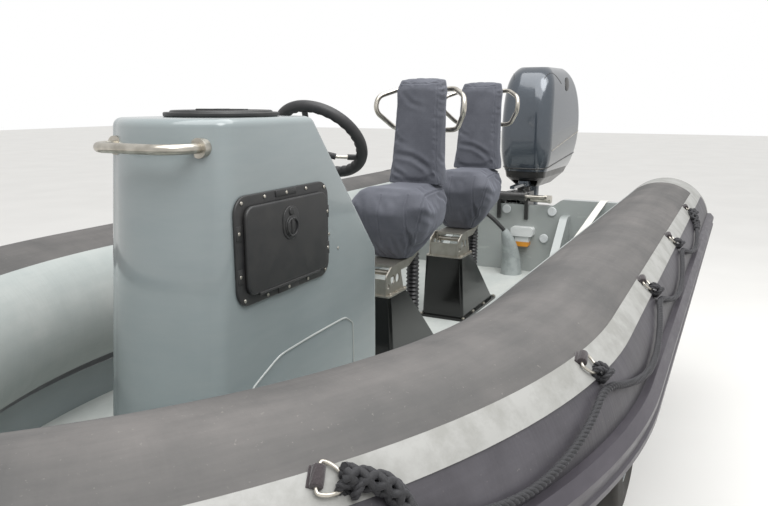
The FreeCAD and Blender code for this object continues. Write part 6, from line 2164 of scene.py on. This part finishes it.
@dataclass
class Stern:
    """Slotted drain caps, and the light cloth over the tubes' ends."""

    line: TubeLine
    palette: Palette
    face: float = -2.1722
    caps: tuple = ((-0.040, 1.146), (0.252, 1.148), (0.208, 0.973))

    def build(self) -> None:
        """Build the stern's fittings."""
        made = []
        for i, (y, z) in enumerate(self.caps):
            middle = Vector((self.face + 0.0045, y, z))
            cap = drum(f"cap_{i}", middle, AHEAD, 0.028, 0.009, 0.003, 40)
            slot = block("cap_slot", (-0.01, -0.019, -0.0028), (0.01, 0.019, 0.0028))
            slot.data.transform(Matrix.Translation(middle + AHEAD * 0.012) @ Matrix.Rotation(0.5 + i, 4, "X"))
            carve(cap, slot)
            made.append(carve(cap, hoop("cap_groove", middle + AHEAD * 0.0046, AHEAD, 0.0215, 0.0011, 40, 8)))
        caps = join("drain_caps", made)
        finish_piece(caps, self.palette, "white_plastic")
        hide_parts("transom_caps")
        for side in Side:
            self.cloth(side)

    def cloth(self, side: Side) -> None:
        """Light cloth round the top of the tube aft of the transom.

        Args:
            side: which side.
        """
        put_down()
        bpy.ops.mesh.primitive_grid_add(x_subdivisions=8, y_subdivisions=72, size=2.0, location=ORIGIN)
        cloth = named(f"end_cloth_{side.name.lower()}")
        for vertex in cloth.data.vertices:
            s = -0.125 + 0.124 * vertex.co.x
            angle = 37.0 + 171.0 * (vertex.co.y + 1.0) / 2
            vertex.co = self.line.skin(s, angle, 0.0008, side)
        modifier(cloth, "SOLIDIFY", thickness=0.0014, offset=1.0)
        outward(cloth)
        finish_piece(cloth, self.palette, "tube_light", angle=60)


@dataclass
class Outboard:
    """Skirt, gasket, trims, shut lines and air inlets of the engine's cowl."""

    palette: Palette
    edge: float = 1.382
    rise: float = 0.12

    def build(self, nodes: dict[str, Object]) -> None:
        """Build the dark skirt, its gasket, the bright side trims, the shut lines and the intakes.

        Args:
            nodes: the carried-over solids by name.
        """
        cowl = nodes["engine_cowl"]
        gasket = self.girth(cowl, self.edge, self.rise)
        self.dress(self.bar("cowl_gasket", gasket + gasket[:1], 0.0045))
        self.skirt(cowl)
        trim = [p for p in self.girth(cowl, 1.478, 0.2) if p.x < -2.42]
        lines = [
            self.bar(f"trim_{side.name.lower()}", [p for p in trim if p.y * side.value > 0.02], 0.0036)
            for side in Side
        ]
        self.dress(join("cowl_trims", lines), "stainless")
        shuts = []
        hollows = []
        for side in Side:
            way = [self.drop(cowl, -2.62 + 0.018 * k, side.value * (0.165 - 0.006 * k)) for k in range(12)]
            shuts.append(self.bar(f"shut_{side.name}", [p for p in way if p.z > 1.5], 0.0022, 6))
            hollows.append(self.intake(cowl, side))
        self.dress(join("cowl_shut_lines", shuts))
        self.dress(join("cowl_intakes", hollows))

    def dress(self, piece: Object, slot: str = "engine_black", angle: float = 60) -> Object:
        """Finish a piece that turns with the engine."""
        return finish_piece(piece, self.palette, slot, "engine_steer", angle)

    def bar(self, name: str, points: Sequence[Vector], radius: float, sides: int = 8) -> Object:
        """A thin bar along close points on the skin."""
        return tube_along(name, points, radius, sides, kind=Run.STRAIGHT)

    def skirt(self, cowl: Object) -> None:
        """The cowl's lower edge below the gasket, in black.

        Args:
            cowl: the cowl's solid.
        """
        low = copy_mesh(cowl, "cowl_skirt")
        outward(low)
        edit(low)
        cut = {"plane_co": (-2.30, 0.0, self.edge), "plane_no": (self.rise, 0.0, 1.0)}
        bpy.ops.mesh.bisect(**cut, clear_outer=True, threshold=1e-5)
        bpy.ops.mesh.select_all(action="SELECT")
        bpy.ops.transform.shrink_fatten(value=-0.0012)
        done()
        self.dress(low, angle=40)

    def drop(self, cowl: Object, x: float, y: float) -> Vector:
        """The point of the cowl's skin straight below a place above it."""
        return cowl.ray_cast(Vector((x, y, 2.5)), -UP)[1]

    def intake(self, cowl: Object, side: Side) -> Object:
        """The slim air inlet high on the cowl's side.

        Args:
            cowl: the cowl's solid.
            side: which side.

        Returns:
            The inlet's hollow.
        """
        out = PORTWARD * side.value
        _, place, normal, _ = cowl.ray_cast(Vector((-2.74, side.value, 1.935)), -out)
        put_down()
        bpy.ops.mesh.primitive_uv_sphere_add(segments=32, ring_count=16, radius=1.0, location=ORIGIN)
        hollow = named(f"intake_{side.name.lower()}")
        run = Vector((0.75, 0.0, -0.62))
        run = (run - normal * run.dot(normal)).normalized()
        turn = Matrix((run, normal.cross(run), normal)).transposed().to_4x4()
        hollow.data.transform(Matrix.Translation(place) @ turn @ Matrix.Diagonal((0.062, 0.034, 0.006, 1.0)))
        return hollow

    def girth(self, cowl: Object, level: float, slope: float) -> list[Vector]:
        """Points round the cowl's skin in a plane that rises aft.

        Args:
            cowl: the cowl's solid.
            level: height of the plane at the cowl's front.
            slope: how much it rises per metre aft.

        Returns:
            The points, once round.
        """
        middle = Vector((-2.70, 0.0, level + slope * 0.40))
        points = []
        for k in range(144):
            turn = math.tau * k / 144
            way = Vector((math.cos(turn), math.sin(turn), -slope * math.cos(turn)))
            hit, place, _, _ = cowl.ray_cast(middle + way * 1.2, -way.normalized())
            if hit:
                points.append(place)
        return points


@dataclass
class Hardware:
    """Bolts of the seats' feet and brackets."""

    palette: Palette
    stations: tuple = SEAT_STATIONS

    def build(self) -> None:
        """Strew the bolts."""
        _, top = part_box("seat_pedestals")
        length = top.x - self.stations[1]
        feet = (0.014, length * 0.36, length * 0.68, length - 0.014)
        arms = (length - 0.046, length - 0.105, length - 0.180)
        rows = (
            ("foot_bolts", 0.0065, feet, 0.113, 0.7622),
            ("bracket_bolts", 0.006, arms, 0.084, top.z + 0.0058),
        )
        for name, radius, along, y, z in rows:
            places = [
                (Vector((station + x, side.value * y, z)), UP)
                for station in self.stations
                for x in along
                for side in reversed(Side)
            ]
            finish_piece(strew(name, hex_bolt(radius), places), self.palette, "stainless")


# Studio


@dataclass(frozen=True)
class Studio:
    """Camera, lamps, world and floor."""

    lens: float = 33.23
    place: tuple = (2.2175, 1.284, 1.829)
    right: tuple = (-0.4495, 0.8933, -0.0002)
    up: tuple = (-0.1884, -0.0946, 0.9775)
    back: tuple = (0.8732, 0.4394, 0.2108)

    def build(self) -> None:
        """Set up the whole studio."""
        self.camera()
        self.world()
        self.lamps()
        self.floor()
        bpy.context.scene.view_settings.view_transform = "Standard"

    def camera(self) -> None:
        """Place the camera at the photograph's angle."""
        data = bpy.data.cameras.new("camera")
        data.lens = self.lens
        data.sensor_width = 36.0
        data.sensor_fit = "HORIZONTAL"
        data.clip_start = 0.02
        data.clip_end = 200.0
        camera = into_scene("camera", data)
        axes = Matrix((self.right, self.up, self.back)).transposed()
        camera.matrix_world = Matrix.Translation(self.place) @ axes.to_4x4()
        bpy.context.scene.camera = camera

    def world(self) -> None:
        """White where the camera looks, and soft grey as light and in mirrors."""
        world = bpy.data.worlds.new("world")
        bpy.context.scene.world = world
        world.use_nodes = True
        tree = world.node_tree
        tree.nodes.clear()
        rays = add(tree, "LightPath").outputs
        shown = {0: rays["Is Camera Ray"], 1: rays["Is Transmission Ray"]}
        seen = add(tree, "Math", shown, operation="MAXIMUM")
        mirrored = add(tree, "Math", {0: rays["Is Glossy Ray"], 1: 0.2}, operation="MULTIPLY")
        share = add(tree, "Math", {0: seen, 1: mirrored}, operation="MAXIMUM")
        strength = add(tree, "MapRange", {"Value": share, "To Min": 0.70, "To Max": 1.0})
        light = add(tree, "Background", {"Color": "#FFFFFF", "Strength": strength})
        add(tree, "OutputWorld", {"Surface": light})

    def lamps(self) -> None:
        """One broad lamp above and a weak soft sun."""
        sky = bpy.data.lights.new("sky_panel", "AREA")
        sky.shape = "RECTANGLE"
        sky.size = 7.0
        sky.size_y = 5.0
        sky.energy = 300.0
        into_scene("sky_panel", sky).location = (0.6, 1.2, 5.2)
        sun = bpy.data.lights.new("soft_sun", "SUN")
        sun.energy = 1.1
        sun.angle = math.radians(35)
        into_scene("soft_sun", sun).rotation_euler = (math.radians(-30), math.radians(24), 0.0)

    def floor(self) -> None:
        """A plain pale floor."""
        put_down()
        bpy.ops.mesh.primitive_plane_add(size=80.0, location=ORIGIN)
        ground = named("studio_floor")
        made, tree, shader = blank("studio_floor", Roughness=0.9)
        share = add(tree, "MapRange", {"Value": grain(tree, 900.0, 2.0), "From Min": 0.3, "From Max": 0.7})
        tone = add(tree, "Mix", {0: share, 6: "#E4E3E0", 7: "#E8E7E4"}, **RGBA)
        feed(tree, shader, Base_Color=tone)
        ground.data.materials.append(made)


NODE_FINISH = {"seat_brackets": "brushed"}


def dress_nodes(frame: dict, palette: Palette) -> None:
    """Give every carried-over solid the finish of its own slot.

    Args:
        palette: the finishes.
    """
    slots = {m["slot"] for m in frame["record"]["materials"]}
    for name, obj in frame["nodes"].items():
        for place in obj.material_slots:
            slot = place.material.name.split(".")[0] if place.material else ""
            if name in NODE_FINISH:
                place.material = palette.get(NODE_FINISH[name])
            elif slot in slots:
                place.material = palette.get(slot)
            else:
                LOG.warning("%s has the unknown slot %s", name, slot)


def main() -> None:
    """Build every class in order and log each step as it ends."""
    logging.basicConfig(level=logging.INFO, format="%(message)s")
    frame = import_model()
    Studio().build()
    palette = Palette()
    dress_nodes(frame, palette)
    line = TubeLine()
    for side, hitches in zip(Side, Rings(line, palette).build()):
        Lifeline(line, palette, side).build(hitches)
        LOG.info("rings and lifeline %s", side.name)
    Collar(line, palette).build()
    LOG.info("collar")
    Seats(palette).build(frame["nodes"])
    LOG.info("seat covers")
    Console(palette).build()
    LOG.info("console")
    Helm(palette).build()
    LOG.info("steering wheel")
    RiggingHose(palette).build()
    LOG.info("rigging hose")
    Stern(line, palette).build()
    LOG.info("stern")
    Outboard(palette).build(frame["nodes"])
    LOG.info("outboard")
    Hardware(palette).build()
    LOG.info("hardware")


if __name__ == "__main__":
    main()
